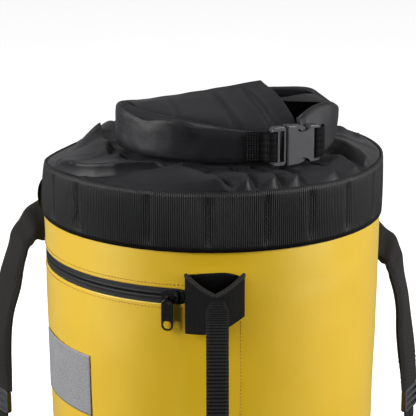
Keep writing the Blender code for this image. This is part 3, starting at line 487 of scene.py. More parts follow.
def tube(name, lows, highs, thickness, steps, finish, shape=None, around=28, squareness=0.55):
    """A flattened roll of cloth between two smooth curves, closed at both ends."""

    def point(u, v):
        low, high = through(lows, v), through(highs, v)
        step = 0.01
        centre = (low + high) / 2
        ahead = (through(lows, min(1, v + step)) + through(highs, min(1, v + step))) / 2
        behind = (through(lows, max(0, v - step)) + through(highs, max(0, v - step))) / 2
        out = (ahead - behind).cross(high - low).normalized()
        ends = sqrt(clamp(min(v, 1 - v) * 30, 0.25, 1))
        place = oval(low, high, out, thickness * ends, u, squareness)
        if shape:
            place = place + out * shape(u, centre)
        return place

    length = sum((through(highs, (k + 1) / 40) - through(highs, k / 40)).length for k in range(40))
    return cloth(name, point, around, steps, (0.08, length), finish, wrap=True, caps=True, sharp=60)


def strap(name, stations, width, thickness, steps, finish, across_steps=6, crown=0.0, ribs=0.0, ribs_pitch=0.0025,
          broad=None):
    """Webbing along (centre, across) stations, as a closed flat band."""
    centres = [Vector(centre) for centre, _ in stations]
    acrosses = [Vector(across).normalized() for _, across in stations]
    length = sum((through(centres, (k + 1) / 60) - through(centres, k / 60)).length for k in range(60))

    def point(u, v):
        across = through(acrosses, v).normalized()
        step = 0.01
        tangent = through(centres, min(1, v + step)) - through(centres, max(0, v - step))
        out = tangent.cross(across).normalized()
        angle = 2 * pi * u
        c, s = cos(angle), sin(angle)
        side = abs(c) ** 0.35 * (1 if c > 0 else -1)
        rise = abs(s) ** 0.6 * (1 if s > 0 else -1)
        lift = thickness / 2 * rise * (1 + crown * (1 - abs(side)))
        if ribs:
            lift += ribs * sin(2 * pi * v * length / ribs_pitch) * rise * clamp((1 - abs(side)) * 8)
        half = width / 2 * (broad(v) if broad else 1)
        return through(centres, v) + across * (side * half) + out * lift

    return cloth(name, point, across_steps * 4, steps, (2 * width, length), finish, wrap=True, caps=True, sharp=50)


def stitches(name, marks, width, finish, body, nodes=()):
    """Sewn thread: marks are (middle, along, out, length)."""
    bm = bmesh.new()
    for middle, along, out, length in marks:
        along = along.normalized()
        out = (out - along * out.dot(along)).normalized()
        turn = Matrix((along, out.cross(along), out)).transposed().to_4x4()
        turn.translation = middle
        shape = turn @ Matrix.Diagonal((length, width, width * 0.8, 1))
        bmesh.ops.create_icosphere(bm, subdivisions=1, radius=0.5, matrix=shape)
    return finished(settle(bm, name, finish, 80), nodes, body)


def ring_marks(radius_at, start, end, height, pitch, length, lift=0.0002):
    """Stitches along the wall at one height."""
    count = max(1, int(radians(abs(end - start)) * radius_at(height) / pitch))
    marks = []
    for k in range(count):
        azimuth = start + (end - start) * (k + 0.5) / count
        middle = on_ring(radius_at(height) + lift, azimuth, height)
        marks.append((middle, along_wall(azimuth), outwards(azimuth), length))
    return marks


# ---- The yellow tube -------------------------------------------------------------------------------------

SLIT_EDGE = 0.0009  # a second loop this close to the slit keeps its edge flat
WALL_COLUMNS = ((0, -180.0), (44, ZIP_START), (104, -12.0), (118, ZIP_END), (250, 180.0))
WALL_ROWS = (
    (0, WALL_FOOT), (45, ZIP_HEIGHT - ZIP_WINDOW / 2 - SLIT_EDGE), (46, ZIP_HEIGHT - ZIP_WINDOW / 2),
    (54, ZIP_HEIGHT + ZIP_WINDOW / 2), (55, ZIP_HEIGHT + ZIP_WINDOW / 2 + SLIT_EDGE),
    (62, RIM_BOTTOM - 0.0003), (63, RIM_BOTTOM), (72, RIM_HEIGHT - 0.006),
)


def between(stops, share):
    """Reads a broken line of (grid line, value) stops at a share of its length."""
    at = share * stops[-1][0]
    for (a, low), (b, high) in zip(stops, stops[1:]):
        if at <= b + 1e-6:
            return low + (high - low) * (at - a) / (b - a)
    return stops[-1][1]


def in_zip_window(u, v):
    azimuth, height = between(WALL_COLUMNS, u), between(WALL_ROWS, v)
    return ZIP_START < azimuth < ZIP_END and abs(height - ZIP_HEIGHT) < ZIP_WINDOW / 2


def cloth_waver(azimuth, height):
    """How far the coated cloth stands off a true cone."""
    place = on_ring(1, azimuth, 0)
    soft = noise.noise(Vector((place.x * 2.2, place.y * 2.2, height * 9))) * 0.0011
    fine = noise.noise(Vector((place.x * 6, place.y * 6, height * 24 + 7))) * 0.00035
    return soft + fine


def wall_surface(azimuth, height):
    """Radius of the tube's outside, with the cloth's unevenness fading out at the rim and the foot."""
    if height > RIM_BOTTOM - 0.0002:
        return WALL_RIM_RADIUS
    fade = smooth((RIM_BOTTOM - height) / 0.03) * smooth((height - 0.045) / 0.03)
    at_zip = 1 - 0.85 * exp(-((height - ZIP_HEIGHT) / 0.018) ** 2)
    at_patch = 1 - 0.9 * exp(-((azimuth - HANDLE_AZIMUTH) / 12) ** 4)
    pull = 0.0007 * exp(-((height - PATCH_TOP - 0.006) / 0.006) ** 2 - ((azimuth - HANDLE_AZIMUTH) / 9) ** 2)
    return wall_radius(height) + (cloth_waver(azimuth, height) - 0.0002) * fade * at_zip * at_patch - pull


def wall_point(u, v):
    azimuth, height = between(WALL_COLUMNS, u), between(WALL_ROWS, v)
    drop = height - ZIP_HEIGHT
    # the slit's near corners are rounded
    if -12.0 < azimuth <= ZIP_END + 1e-6:
        share = (azimuth + 12.0) / (ZIP_END + 12.0)
        closing = 1 - 0.3 * (1 - sqrt(max(0, 1 - share**3)))
        if abs(drop) <= ZIP_WINDOW / 2 + 1e-6:
            drop *= closing
        else:
            side = 1 if drop > 0 else -1
            drop -= (1 - closing) * ZIP_WINDOW / 2 * side * exp(-(abs(drop) - ZIP_WINDOW / 2) / 0.006)
        height = ZIP_HEIGHT + drop
    return sagged(on_ring(wall_surface(azimuth, height) - WALL_THICKNESS / 2, azimuth, height))


def build_wall():
    around = 2 * pi * RIM_RADIUS
    made = cloth(
        "bag_wall", wall_point, 250, 72, (around, RIM_HEIGHT), YELLOW, wrap=True, hole=in_zip_window, sharp=60,
    )
    thicken(made, WALL_THICKNESS, even=False)
    finished(made, ("body_wall",), "bag")
    rows = []
    for height in (ZIP_HEIGHT + 0.0102, ZIP_HEIGHT - 0.0102):
        rows += ring_marks(wall_radius, ZIP_START - 2, ZIP_END - 0.5, height, 0.0031, 0.0021)
    seam = HANDLE_AZIMUTH + 8.4
    for k in range(52):
        height = PATCH_FOOT + 0.01 - k * 0.0031
        rows.append((on_ring(wall_radius(height) + 0.0001, seam, height), Vector((0, 0, 1)), outwards(seam), 0.0021))
    stitches("wall_stitching", rows, 0.0009, GOLD_THREAD, "bag")


# ---- The rim ---------------------------------------------------------------------------------------------

BOX_TACKS = (-48.3, 131.5)
BAR_TACKS = (-20.2, -1.2, 17.2, 32.7, 48.8, 66.5, 84.0, 101.5, 119.0, 145.0, 162.0, 179.0, -164.0, -147.0, -130.0,
             -112.0, -94.0, -76.0, -64.0)
TACK_LOW, TACK_HIGH = RIM_BOTTOM + 0.0065, RIM_HEIGHT - 0.0075


def tack_pinch(azimuth):
    """How much the webbing is drawn in beside its nearest tack."""
    nearest = min(abs((azimuth - tack + 180) % 360 - 180) for tack in BAR_TACKS + BOX_TACKS)
    return exp(-(nearest / 1.6) ** 2)


def rim_point(u, v):
    azimuth = 360 * u - 180
    height = RIM_BOTTOM + (RIM_HEIGHT - RIM_BOTTOM) * v
    edge = min(v, 1 - v) * 50
    rib = sin(2 * pi * RIB_COUNT * u) * 0.0002 * clamp(edge - 1)
    selvedge = 0.00035 * exp(-((edge - 1.0) / 0.8) ** 2)
    puff = 0.001 * sin(pi * v) ** 0.6 * (0.7 + 0.5 * noise.noise(on_ring(2.4, azimuth, 0)))
    pinch = tack_pinch(azimuth) * 0.0017 * smooth((edge - 3) / 5)
    radius = RIM_RADIUS - WEBBING_THICKNESS / 2 + rib + selvedge + puff - pinch
    waver = 0.0007 * noise.noise(on_ring(1.7, azimuth, 3.1)) * v
    return sagged(on_ring(radius, azimuth, height + waver))


def tack_rows(azimuth, half_width, low, high, pitch):
    """A dense zigzag up the webbing."""
    marks = []
    count = int((high - low) / pitch)
    spread = degrees(half_width / RIM_RADIUS)
    for k in range(count):
        height = low + pitch * (k + 0.5)
        middle = sagged(on_ring(RIM_RADIUS - 0.0003, azimuth + 0.25 * spread * (-1) ** k, height))
        slope = along_wall(azimuth) + Vector((0, 0, 0.22 * (-1) ** k))
        marks.append((middle, slope, outwards(azimuth), half_width * 1.7))
    return marks


def box_tack(azimuth, half, low, high):
    """A sewn box with a cross in it."""
    spread = degrees(half / RIM_RADIUS)
    corners = [(-spread, low), (spread, low), (spread, high), (-spread, high)]
    lines = list(zip(corners, corners[1:] + corners[:1])) + [(corners[0], corners[2]), (corners[1], corners[3])]
    marks = []
    for (a, z0), (b, z1) in lines:
        start, end = on_ring(RIM_RADIUS, azimuth + a, z0), on_ring(RIM_RADIUS, azimuth + b, z1)
        count = int((end - start).length / 0.0024)
        for k in range(count):
            share = (k + 0.5) / count
            middle = start.lerp(end, share)
            middle.xy = middle.xy.normalized() * (RIM_RADIUS + 0.0004)
            marks.append((sagged(middle), end - start, outwards(azimuth), 0.0019))
    return marks


def build_rim():
    around = 2 * pi * RIM_RADIUS
    made = cloth("rim_band", rim_point, RIB_COUNT * 4, 11, (around, 0.05), RIM_CLOTH, wrap=True, sharp=80)
    thicken(made, WEBBING_THICKNESS, even=False)
    finished(made, ("rim_webbing",), "bag")
    marks = []
    for azimuth in BAR_TACKS:
        marks += tack_rows(azimuth, 0.0014, TACK_LOW, TACK_HIGH, 0.0019)
    for azimuth in BOX_TACKS:
        marks += box_tack(azimuth, 0.0068, RIM_BOTTOM + 0.008, RIM_HEIGHT - 0.012)
    stitches("rim_tacks", marks, 0.0009, BLACK_THREAD, "bag")
    hoops = (
        ("rim_hoop", "rim_stiffener", BARE_PLASTIC, "stiffener", 0.0013),
        ("rim_lining", "rim_facing", WEBBING, "webbing", 0.0012),
    )
    for name, node, finish, slot, thickness in hoops:
        low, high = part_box(node)
        middle = high.x - thickness / 2
        top = min(high.z, RIM_HEIGHT - 0.007)

        def point(u, v):
            return sagged(on_ring(middle, 360 * u - 180, low.z + (top - low.z) * v))

        made = thicken(cloth(name, point, 192, 8, (0.92, 0.045), finish, wrap=True), thickness, even=False)
        finished(made, (node,), "bag")


# ---- The gathered skirt ----------------------------------------------------------------------------------

MOUTH = (0.01, -0.024)
MOUTH_HALF_LENGTH, MOUTH_HALF_WIDTH = 0.07, 0.005
HEM_SHARE = 0.14
EDGE_RADIUS = 0.1472  # where the skirt comes over the rim
MOST_LEAN = 0.006  # how far a fold's crest may lean over its steep side

# Folds in the skirt: their line on plan, height, and width before and behind the crest.
FOLDS = metres((
    (((-27, -113), (-27, -127), (15, -149)), 6.5, 10, 2.8),
    (((6, -98), (17, -123), (29, -148)), 5.2, 7.5, 3),
    (((24, -98), (38, -118), (51, -142)), 5.8, 8, 3),
    (((46, -98), (58, -114), (70, -133)), 5.2, 8, 3),
    (((76, -90), (90, -98), (106, -108)), 4.5, 8, 3),
    (((98, -10), (114, -38), (134, -64)), 5.2, 6, 11),
    (((100, -62), (114, -74), (125, -85)), 4, 6, 4),
    (((-138, -54), (-110, -86), (-78, -102), (-40, -102)), 5.2, 2.4, 12),
    (((-105, 5), (-98, -35), (-81, -64)), 5.8, 12, 4),
    (((30, 145), (24, 80), (20, 10)), 6, 10, 5),
    (((-50, 135), (-30, 80), (-15, 10)), 7, 6, 11),
    (((95, 110), (70, 60), (50, 10)), 7, 9, 5),
    (((-105, 98), (-80, 60), (-48, 12)), 6, 8, 6),
    (((135, 45), (110, 35), (85, 10)), 5, 6, 8),
    (((-128, 60), (-105, 45), (-75, 5)), 4.5, 7, 5),
))
# Domes and hollows: centre on plan, height, and reach.
BUMPS = metres((
    (-101, 2, 10.5, 20, 36), (-106, -26, -3, 10, 12),
    (-132, -64, -4, 6, 6), (-98, -113, -5, 12, 4),
    (-106, -101, 3, 3, 4), (-11, -109, -8.5, 12, 8),
    (-60, -115, 3, 22, 14), (128, 50, -6, 8, 30),
    (115, -10, 4, 14, 26), (15, -106, -4, 6, 8),
    (35, -106, -4, 6, 8), (0, 60, 6, 60, 40),
))


def rounded(line, spans=6):
    """A broken line on plan, laid along the smooth curve through its points."""
    points = [Vector((*place, 0)) for place in line]
    return [tuple(through(points, k / spans).xy) for k in range(spans + 1)]


FOLD_LINES = [(rounded(line), *sizes) for line, *sizes in FOLDS]


def fold_height(x, y):
    """Height of the folds at a place, and how far they lean over their steep side there."""
    rise, lean = 0.0, Vector((0, 0))
    for line, height, before, behind in FOLD_LINES:
        best = None
        for k, ((x0, y0), (x1, y1)) in enumerate(zip(line, line[1:])):
            dx, dy = x1 - x0, y1 - y0
            length = hypot(dx, dy)
            share = clamp(((x - x0) * dx + (y - y0) * dy) / length**2)
            away_x, away_y = x - x0 - dx * share, y - y0 - dy * share
            away = hypot(away_x, away_y)
            if best is None or away < best[0]:
                best = (away, (dx * away_y - dy * away_x), (k + share) / (len(line) - 1))
        away, turn, place = best
        width = before if turn < 0 else behind
        taper = smooth(place / 0.1 + 0.35) * smooth((1 - place) / 0.1 + 0.45)
        crest = exp(-(sqrt(away**2 + 0.0008**2) - 0.0008) / width)
        narrow = min(before, behind)
        foot = 0.55 * exp(-(((away - 2.6 * narrow) / (1.3 * narrow)) ** 2)) if width == narrow else 0.0
        rise += 1.25 * height * taper * (crest - foot)
        (x0, y0), (x1, y1) = line[0], line[-1]
        steep = Vector((y1 - y0, x0 - x1)).normalized() * (1 if before < behind else -1)
        if max(before, behind) > 2 * narrow:
            lean += steep * (min(2.3 * narrow, MOST_LEAN) * taper * exp(-away / (1.15 * narrow)))
    for cx, cy, height, rx, ry in BUMPS:
        rise += height * exp(-((x - cx) / rx) ** 2 - ((y - cy) / ry) ** 2)
    return rise, lean


def mouth_at(azimuth):
    angle = radians(azimuth)
    x, y = sin(angle), -cos(angle)
    reach = sqrt((x / MOUTH_HALF_LENGTH) ** 2 + (y / MOUTH_HALF_WIDTH) ** 2)
    return Vector((MOUTH[0] + x / reach, MOUTH[1] + y / reach, RIM_HEIGHT + 0.024))


def skirt_cap(x, y):
    """The skirt stays under the roll's front arm, and lower where the buckle's plug slides out."""
    swept = smooth((x + 0.016) / 0.012) * smooth((0.108 - x) / 0.012)
    front = -0.0985 - 0.0195 * swept
    clear = max(smooth((-0.0835 - x) / 0.02), smooth((x - 0.112) / 0.02), smooth((y + 0.052) / 0.026))
    return RIM_HEIGHT + 0.0112 - 0.0036 * swept + 0.004 * clamp((front - y) / 0.01) + 0.03 * clear


def skirt_point(u, v):
    azimuth = 360 * u - 180
    if v <= HEM_SHARE:
        share = v / HEM_SHARE
        flare = smooth((share - 0.72) / 0.28)
        radius = SKIRT_RADIUS + (EDGE_RADIUS - SKIRT_RADIUS) * flare
        return sagged(on_ring(radius, azimuth, RIM_HEIGHT - 0.026 + 0.0245 * share))
    inwards = ((v - HEM_SHARE) / (1 - HEM_SHARE)) ** 1.25
    edge, mouth = on_ring(EDGE_RADIUS, azimuth, RIM_HEIGHT), mouth_at(azimuth)
    place = edge.lerp(mouth, inwards)
    away = (place.xy - edge.xy).length
    left = (place.xy - mouth.xy).length
    rise = 0.01 * (1 - exp(-away / 0.014)) - 0.001
    rise += (0.0125 - 0.0085 * smooth((-0.04 - place.x) / 0.03)) * exp(-left / 0.02)
    swell = smooth(away / 0.012) * smooth(left / 0.012)
    folds, lean = fold_height(place.x, place.y)
    rise += folds * smooth(away / 0.006 + 0.25) * smooth(left / 0.014)
    lean = lean * (smooth(away / 0.007) * smooth(left / 0.014))
    place += Vector((lean.x, lean.y, 0))
    loose = Vector((place.x * 22, place.y * 22, 1.3))
    rise += 0.0022 * noise.noise(loose) * swell + 0.001 * noise.noise(loose * 2.6) * swell
    place.z = min(RIM_HEIGHT + rise, skirt_cap(place.x, place.y) + 0.0012 * noise.noise(loose * 2))
    return sagged(place)


def build_skirt():
    made = cloth("gathered_skirt", skirt_point, 420, 98, (0.94, 0.12), NYLON, wrap=True, sharp=70)
    thicken(made, 0.0006, even=False)
    finished(made, ("closure_skirt",))
    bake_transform(made)


# ---- The rolled mouth ------------------------------------------------------------------------------------


def above_rim(places):
    return [Vector((x, y, RIM_HEIGHT + z)) for x, y, z in places]


FRONT_ARM = metres((
    (41, -94.5, 12, 36.5), (22, -95, 11.5, 38.5), (5, -95, 11.5, 40),
    (-15, -93.8, 12, 41.2), (-27, -91.5, 12.5, 46.2), (-42, -85.8, 12.5, 46.2),
    (-54.5, -78.5, 13, 44), (-66, -68, 13.8, 47.5), (-74.5, -57, 14.6, 51.2),
    (-78.5, -45.5, 15.2, 51.5), (-78.8, -34, 16, 50), (-75, -23, 17.5, 49),
    (-66, -15, 19.5, 48),
))
RING_LOW = above_rim(metres((
    (76, -85, 14), (88, -76.5, 14), (95, -64, 15), (99, -49, 17),
    (98.5, -34, 19), (92, -20, 20.5), (76, -13, 22.5), (48, -12, 24),
    (15, -11, 24), (-15, -11, 23), (-42, -12, 21.5), (-65, -15, 20),
)))
RING_HIGH = above_rim(metres((
    (71, -80, 46.5), (85, -64, 53), (98, -50, 54), (105, -38, 49),
    (102.5, -28, 48.5), (93, -23, 54.5), (82, -24, 60.3), (56, -26, 61.5),
    (25, -27, 60), (-10, -27, 54), (-42, -26, 50), (-69, -26, 47.5),
)))
# The flap that leans back over the roll: lower edge, two points up its face, and its upper edge.
FLAP = metres((
    ((-53, -73, 33), (-58, -64, 44), (-66, -48, 49.5), (-72.5, -35, 50)),
    ((-30, -81, 35), (-34, -70, 46), (-42, -51, 52), (-50, -35, 53)),
    ((-5, -85, 32), (-9, -74, 44), (-17, -54, 53), (-23, -36, 57)),
    ((22, -86, 30), (18, -74, 43), (9, -54, 56), (2, -36, 61.5)),
    ((50, -86, 29), (44, -74, 42), (33, -54, 58.5), (23, -37, 66)),
    ((74, -85, 29), (68, -75, 44), (56, -56, 59), (41.5, -38, 69)),
))


def arm_crumple(u, centre):
    place = Vector((centre.x * 30, centre.y * 30, u * 5))
    wrinkle = 0.0012 * noise.noise(place) + 0.0005 * noise.noise(place * 2.7)
    # a shallow tuck where the arm's upper edge steps down
    tuck = -0.0009 * exp(-((centre.x + 0.018) / 0.006) ** 2) * max(0.0, cos(2 * pi * u))
    return wrinkle + tuck * (1 if centre.y < -0.08 else 0)


def ring_crumple(u, centre):
    place = Vector((centre.x * 26 + 5, centre.y * 26, u * 6))
    return 0.0016 * noise.noise(place) + 0.0007 * noise.noise(place * 2.4)


def flap_point(u, v):
    columns = [through([Vector((x, y, RIM_HEIGHT + z)) for x, y, z in column], u) for column in FLAP]
    place = through(columns, v)
    place.z += 0.001 * sin(pi * u) * sin(pi * v)
    # two soft creases run down the face, and the cloth crumples a little
    for crease, slant, depth in ((0.57, -0.05, 0.0013), (0.8, -0.06, 0.0016), (0.24, 0.05, 0.0007)):
        away = (v - crease - slant * (u - 0.5)) / 0.022
        fade = smooth(u * 3) * smooth((1 - u) * 2.6)
        place.z += depth * (0.5 * exp(-((away - 2.2) ** 2)) - exp(-(away**2))) * fade
    loose = Vector((place.x * 28, place.y * 28, 9))
    place.z += 0.0011 * noise.noise(loose) + 0.0004 * noise.noise(loose * 3)
    return place


def build_roll():
    low = [Vector((x, y, RIM_HEIGHT + z)) for x, y, z, _ in FRONT_ARM]
    high = [Vector((x, y + 0.0008, RIM_HEIGHT + z)) for x, y, _, z in FRONT_ARM]
    made = tube("roll_front_arm", low, high, 0.0068, 150, NYLON, arm_crumple, around=40)
    finished(made, ("roll_left_arm",))
    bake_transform(made)
    made = tube("roll_ring", RING_LOW, RING_HIGH, 0.0085, 190, NYLON, ring_crumple, around=40)
    finished(made, ("roll_right_arm",), "closure")
    made = cloth("roll_flap", flap_point, 44, 90, (0.07, 0.15), NYLON, sharp=70)
    thicken(made, 0.0026)
    bevel = made.modifiers.new("Folded edge", "BEVEL")
    bevel.width, bevel.segments, bevel.limit_method = 0.0012, 3, "ANGLE"
    finished(made, ("roll_middle",), "closure")


# ---- Buckle and its webbing --------------------------------------------------------------------------------

BUCKLE_ORIGIN = Vector((0.0602, -0.0935, 0.4458))
BUCKLE_X = along_wall(27.0)
BUCKLE_OUT = outwards(27.0)
TAB_WIDTH, TAB_THICKNESS = 0.025, 0.0014


def in_buckle(x, z):
    place = BUCKLE_ORIGIN + BUCKLE_X * x + BUCKLE_OUT * z
    return place.x, place.y


def tab(name, places, steps, body, node):
    stations = [((x, y, BUCKLE_ORIGIN.z), (0, 0, 1)) for x, y in places]
    made = strap(name, stations, TAB_WIDTH, TAB_THICKNESS, steps, WEBBING, across_steps=5)
    return finished(made, (node,), body)


def build_buckle():
    frame_start = -0.0135
    front = 0.0015 + 0.0003 + TAB_THICKNESS / 2
    bar = frame_start + 0.00135
    turn = frame_start + 0.0027 + 0.0016
    face = -0.0945 - 0.0035 - 0.0003 - TAB_THICKNESS / 2 - 0.0002
    sewn = [(0.028, face), (0.035, face), (0.0416, face)]
    over = [
        (frame_start - 0.0024, 0.0012), (frame_start - 0.0002, front + 0.0002), (bar, front + 0.0003),
        (turn - 0.0004, front - 0.0006), (turn, 0.0), (turn - 0.0004, 0.0006 - front), (bar, -front - 0.0003),
        (frame_start - 0.0016, -0.0034),
    ]
    tab("plug_strap", sewn + [in_buckle(x, z) for x, z in over], 90, "plug", "plug_tab")
    start = 0.0285
    bar = start + 0.00135
    turn = start - 0.0016
    over = [
        (0.0345, -0.0036), (bar, -front - 0.0002), (turn + 0.0004, 0.0006 - front), (turn, 0.0),
        (turn + 0.0004, front - 0.0006), (bar, front + 0.0002), (0.0345, 0.0012), (0.0375, -0.0018),
        (0.04, -0.0046), (0.0415, -0.0085),
    ]
    tab("socket_strap", [in_buckle(x, z) for x, z in over], 90, "closure", "socket_tab")
    marks = []
    for column in range(5):
        x = 0.0292 + column * 0.0021
        for k in range(11):
            z = BUCKLE_ORIGIN.z - 0.0108 + k * 0.00215
            slope = Vector((0.35 * (-1) ** (k + column), 0, 1))
            marks.append((Vector((x, face - 0.0008, z)), slope, Vector((0, -1, 0)), 0.0019))
    for k in range(10):
        z = BUCKLE_ORIGIN.z - 0.01 + k * 0.0022
        place = Vector((*in_buckle(frame_start - 0.003, 0.0016), z))
        marks.append((place, Vector((0.3 * (-1) ** k, 0, 1)), BUCKLE_OUT, 0.0019))
        place = Vector((*in_buckle(frame_start - 0.0048, 0.0008), z))
        marks.append((place, Vector((0.3 * (-1) ** (k + 1), 0, 1)), BUCKLE_OUT, 0.0019))
    stitches("plug_strap_tack", marks, 0.0005, BLACK_THREAD, "plug")
    marks = []
    for k in range(11):
        z = BUCKLE_ORIGIN.z - 0.0108 + k * 0.00215
        place = Vector((*in_buckle(0.0372, -0.0005), z))
        marks.append((place, Vector((0, 0, 1)), BUCKLE_OUT, 0.0016))
    stitches("socket_strap_tack", marks, 0.0006, BLACK_THREAD, "closure")


# ---- Zipped pocket -----------------------------------------------------------------------------------------


def build_zip():
    for name, side in (("upper", 1), ("lower", -1)):
        low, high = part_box(f"zip_tape_{name}")
        radius = 0.1463 - 0.0003

        def tape_point(u, v):
            azimuth = ZIP_START + (ZIP_END - ZIP_START) * u
            height = low.z + (high.z - low.z) * v
            near = 1 - clamp(abs(height - ZIP_HEIGHT) / 0.004)
            return on_ring(radius + 0.0003 * near, azimuth, height)

        length = radians(ZIP_END - ZIP_START) * radius
        made = cloth(f"tape_{name}", tape_point, 90, 8, (length, high.z - low.z), ZIP_CLOTH)
        finished(thicken(made, 0.0006), (f"zip_tape_{name}",), "bag")
        low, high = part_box(f"zip_teeth_{name}")
        first, last = ZIP_START + 1.9, ZIP_END - 1.9
        turns = int(radians(last - first) * 0.147 / 0.0012)

        def coil_point(u, v):
            """Half a coil: its turns ride round a flat oval."""
            azimuth = first + (last - first) * v
            angle = 2 * pi * u
            fat = 1 + 0.07 * sin(2 * pi * turns * v)
            height = (low.z + high.z) / 2 + (high.z - low.z) / 2 * cos(angle) * fat * 0.98
            return on_ring(0.1471 + 0.0005 * sin(angle) * fat, azimuth, height)

        made = cloth(f"coil_{name}", coil_point, 10, turns * 4, (0.0012, length), COIL, wrap=True, caps=True, sharp=80)
        finished(made, (f"zip_teeth_{name}",), "bag")
        marks = ring_marks(lambda z: 0.1466, first, last, ZIP_HEIGHT + side * 0.0042, 0.0026, 0.0018, 0.0)
        stitches(f"coil_stitching_{name}", marks, 0.0005, BLACK_THREAD, "bag")
    low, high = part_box("pocket_bag")

    def pocket_point(u, v):
        azimuth = ZIP_START + (ZIP_END - ZIP_START) * u
        height = low.z + (high.z - low.z) * v
        slack = 0.0022 * sin(pi * v) * noise.noise(Vector((azimuth / 9, height * 40, 2)))
        return on_ring(0.1407 - abs(slack), azimuth, height)

    made = thicken(cloth("pocket_lining", pocket_point, 90, 40, (0.237, 0.16), NYLON, sharp=70), 0.0012)
    finished(made, ("pocket_bag",), "bag")


# ---- Front handle ------------------------------------------------------------------------------------------

FOLD_FACE = wall_radius(PATCH_TOP) + 0.0003 + 0.0016
FOLD_APEX = FOLD_FACE + 0.028


def patch_point(low, high, slant):
    spread = degrees(PATCH_WIDTH / 2 / wall_radius(high))

    def point(u, v):
        azimuth = HANDLE_AZIMUTH + spread * (2 * u - 1)
        head = high - 0.005 * clamp((u - 0.65) / 0.35) ** 1.6 - 0.0022 * clamp((0.65 - u) / 0.65) ** 1.6
        foot = low + slant * (0.25 + 0.75 * u)
        height = foot + (head - foot) * v
        return on_ring(wall_radius(height) + 0.0003 + 0.0008, azimuth, height)

    return point


def fold_columns(low, high, left_low, right_low, upside_down):
    spread = degrees(PATCH_WIDTH / 2 / wall_radius(high)) - 0.35
    top, bottom = high - 0.001, low + 0.002
    left, right = (
        [on_ring(FOLD_FACE + 0.0019, HANDLE_AZIMUTH + side * spread, z) for z in (top, edge)]
        for side, edge in ((-1, left_low), (1, right_low))
    )
    middle = [on_ring(FOLD_APEX, HANDLE_AZIMUTH, top - 0.009), on_ring(FOLD_APEX, HANDLE_AZIMUTH, bottom + 0.009)]
    columns = [left, middle, right]
    if upside_down:
        for pair in columns:
            a, b = pair
            pair[0], pair[1] = Vector((a.x, a.y, low + high - b.z)), Vector((b.x, b.y, low + high - a.z))
    return columns


def build_handle_end(name, low, high, left_low, right_low, upside_down):
    slant = right_low - left_low + 0.002
    made = cloth(f"anchor_patch_{name}", patch_point(low, high, slant), 24, 24, (PATCH_WIDTH, high - low), WEBBING)
    finished(thicken(made, 0.0016), (f"handle_{name}_patch",), "bag")
    columns = fold_columns(low, high, left_low, right_low, upside_down)

    def fold_point(u, v):
        side, share = (0, 2 * u) if u <= 0.5 else (1, 2 * u - 1)
        lower = columns[side][1].lerp(columns[side + 1][1], share)
        upper = columns[side][0].lerp(columns[side + 1][0], share)
        place = lower.lerp(upper, v)
        belly = sin(pi * share) * 0.0022
        out = outwards(HANDLE_AZIMUTH)
        sag = -0.0012 * sin(pi * share) * v
        return place + out * belly + Vector((0, 0, sag))

    made = cloth(f"anchor_fold_{name}", fold_point, 40, 26, (0.076, 0.048), WEBBING, sharp=45)
    finished(thicken(made, 0.0016), (f"handle_{name}_fold",), "bag")
    # the folded edge is rolled to a soft welt
    edge_share = 0.0 if upside_down else 1.0
    stations = []
    for k in range(25):
        u = k / 24
        place = fold_point(u, edge_share)
        stations.append((place + Vector((0, 0, -0.0006 if edge_share else 0.0006)), Vector((0, 0, 1))))
    made = strap(f"anchor_welt_{name}", stations, 0.0034, 0.003, 80, RIBBED_WEBBING, across_steps=3)
    finished(made, (), "bag")
    marks = []
    spread = degrees(PATCH_WIDTH / 2 / wall_radius(high))
    for side in (-1, 1):
        for k in range(int((high - low) / 0.003)):
            z = low + 0.0015 + k * 0.003
            if not low + slant * (0.25 if side < 0 else 1) + 0.001 < z < high - 0.004:
                continue
            azimuth = HANDLE_AZIMUTH + side * (spread - 1.1)
            marks.append((on_ring(wall_radius(z) + 0.0021, azimuth, z), Vector((0, 0, 1)), outwards(azimuth), 0.0022))
    stitches(f"anchor_stitching_{name}", marks, 0.0006, BLACK_THREAD, "bag")


def build_handle():
    build_handle_end("top", PATCH_FOOT, PATCH_TOP, PATCH_FOOT + 0.002, PATCH_FOOT + 0.0165, False)
    low, high = (corner.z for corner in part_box("handle_bottom_patch"))
    build_handle_end("bottom", low, high, low + 0.002, low + 0.002, True)
    near = FOLD_APEX + 0.0016 + 0.0012 + 0.0015
    foot, top = (corner.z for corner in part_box("front_grip"))
    middle, reach = (foot + top) / 2, (top - foot) / 2
    stations = []
    for s in (1, 0.86, 0.6, 0.3, 0, -0.3, -0.6, -0.86, -1):
        place = on_ring(near + 0.016 * (1 - s * s) ** 0.8, HANDLE_AZIMUTH, middle + s * reach)
        stations.append((place + along_wall(HANDLE_AZIMUTH) * 0.0014, along_wall(HANDLE_AZIMUTH)))
    made = strap(
        "carry_grip", stations, 0.018, 0.0028, 420, RIBBED_WEBBING, across_steps=4, ribs=0.00028,
        broad=lambda v: 0.66 + 0.34 * smooth(min(v, 1 - v) / 0.07),
    )
    finished(made, ("front_grip",), "grip")


# ---- Patches, loops, pad and foot --------------------------------------------------------------------------


def dressed(node, finish):
    """Gives a CAD node its finish."""
    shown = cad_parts[node]
    shown = bpy.data.objects[shown] if isinstance(shown, str) else shown
    for holder in shown.material_slots:
        holder.material = finish


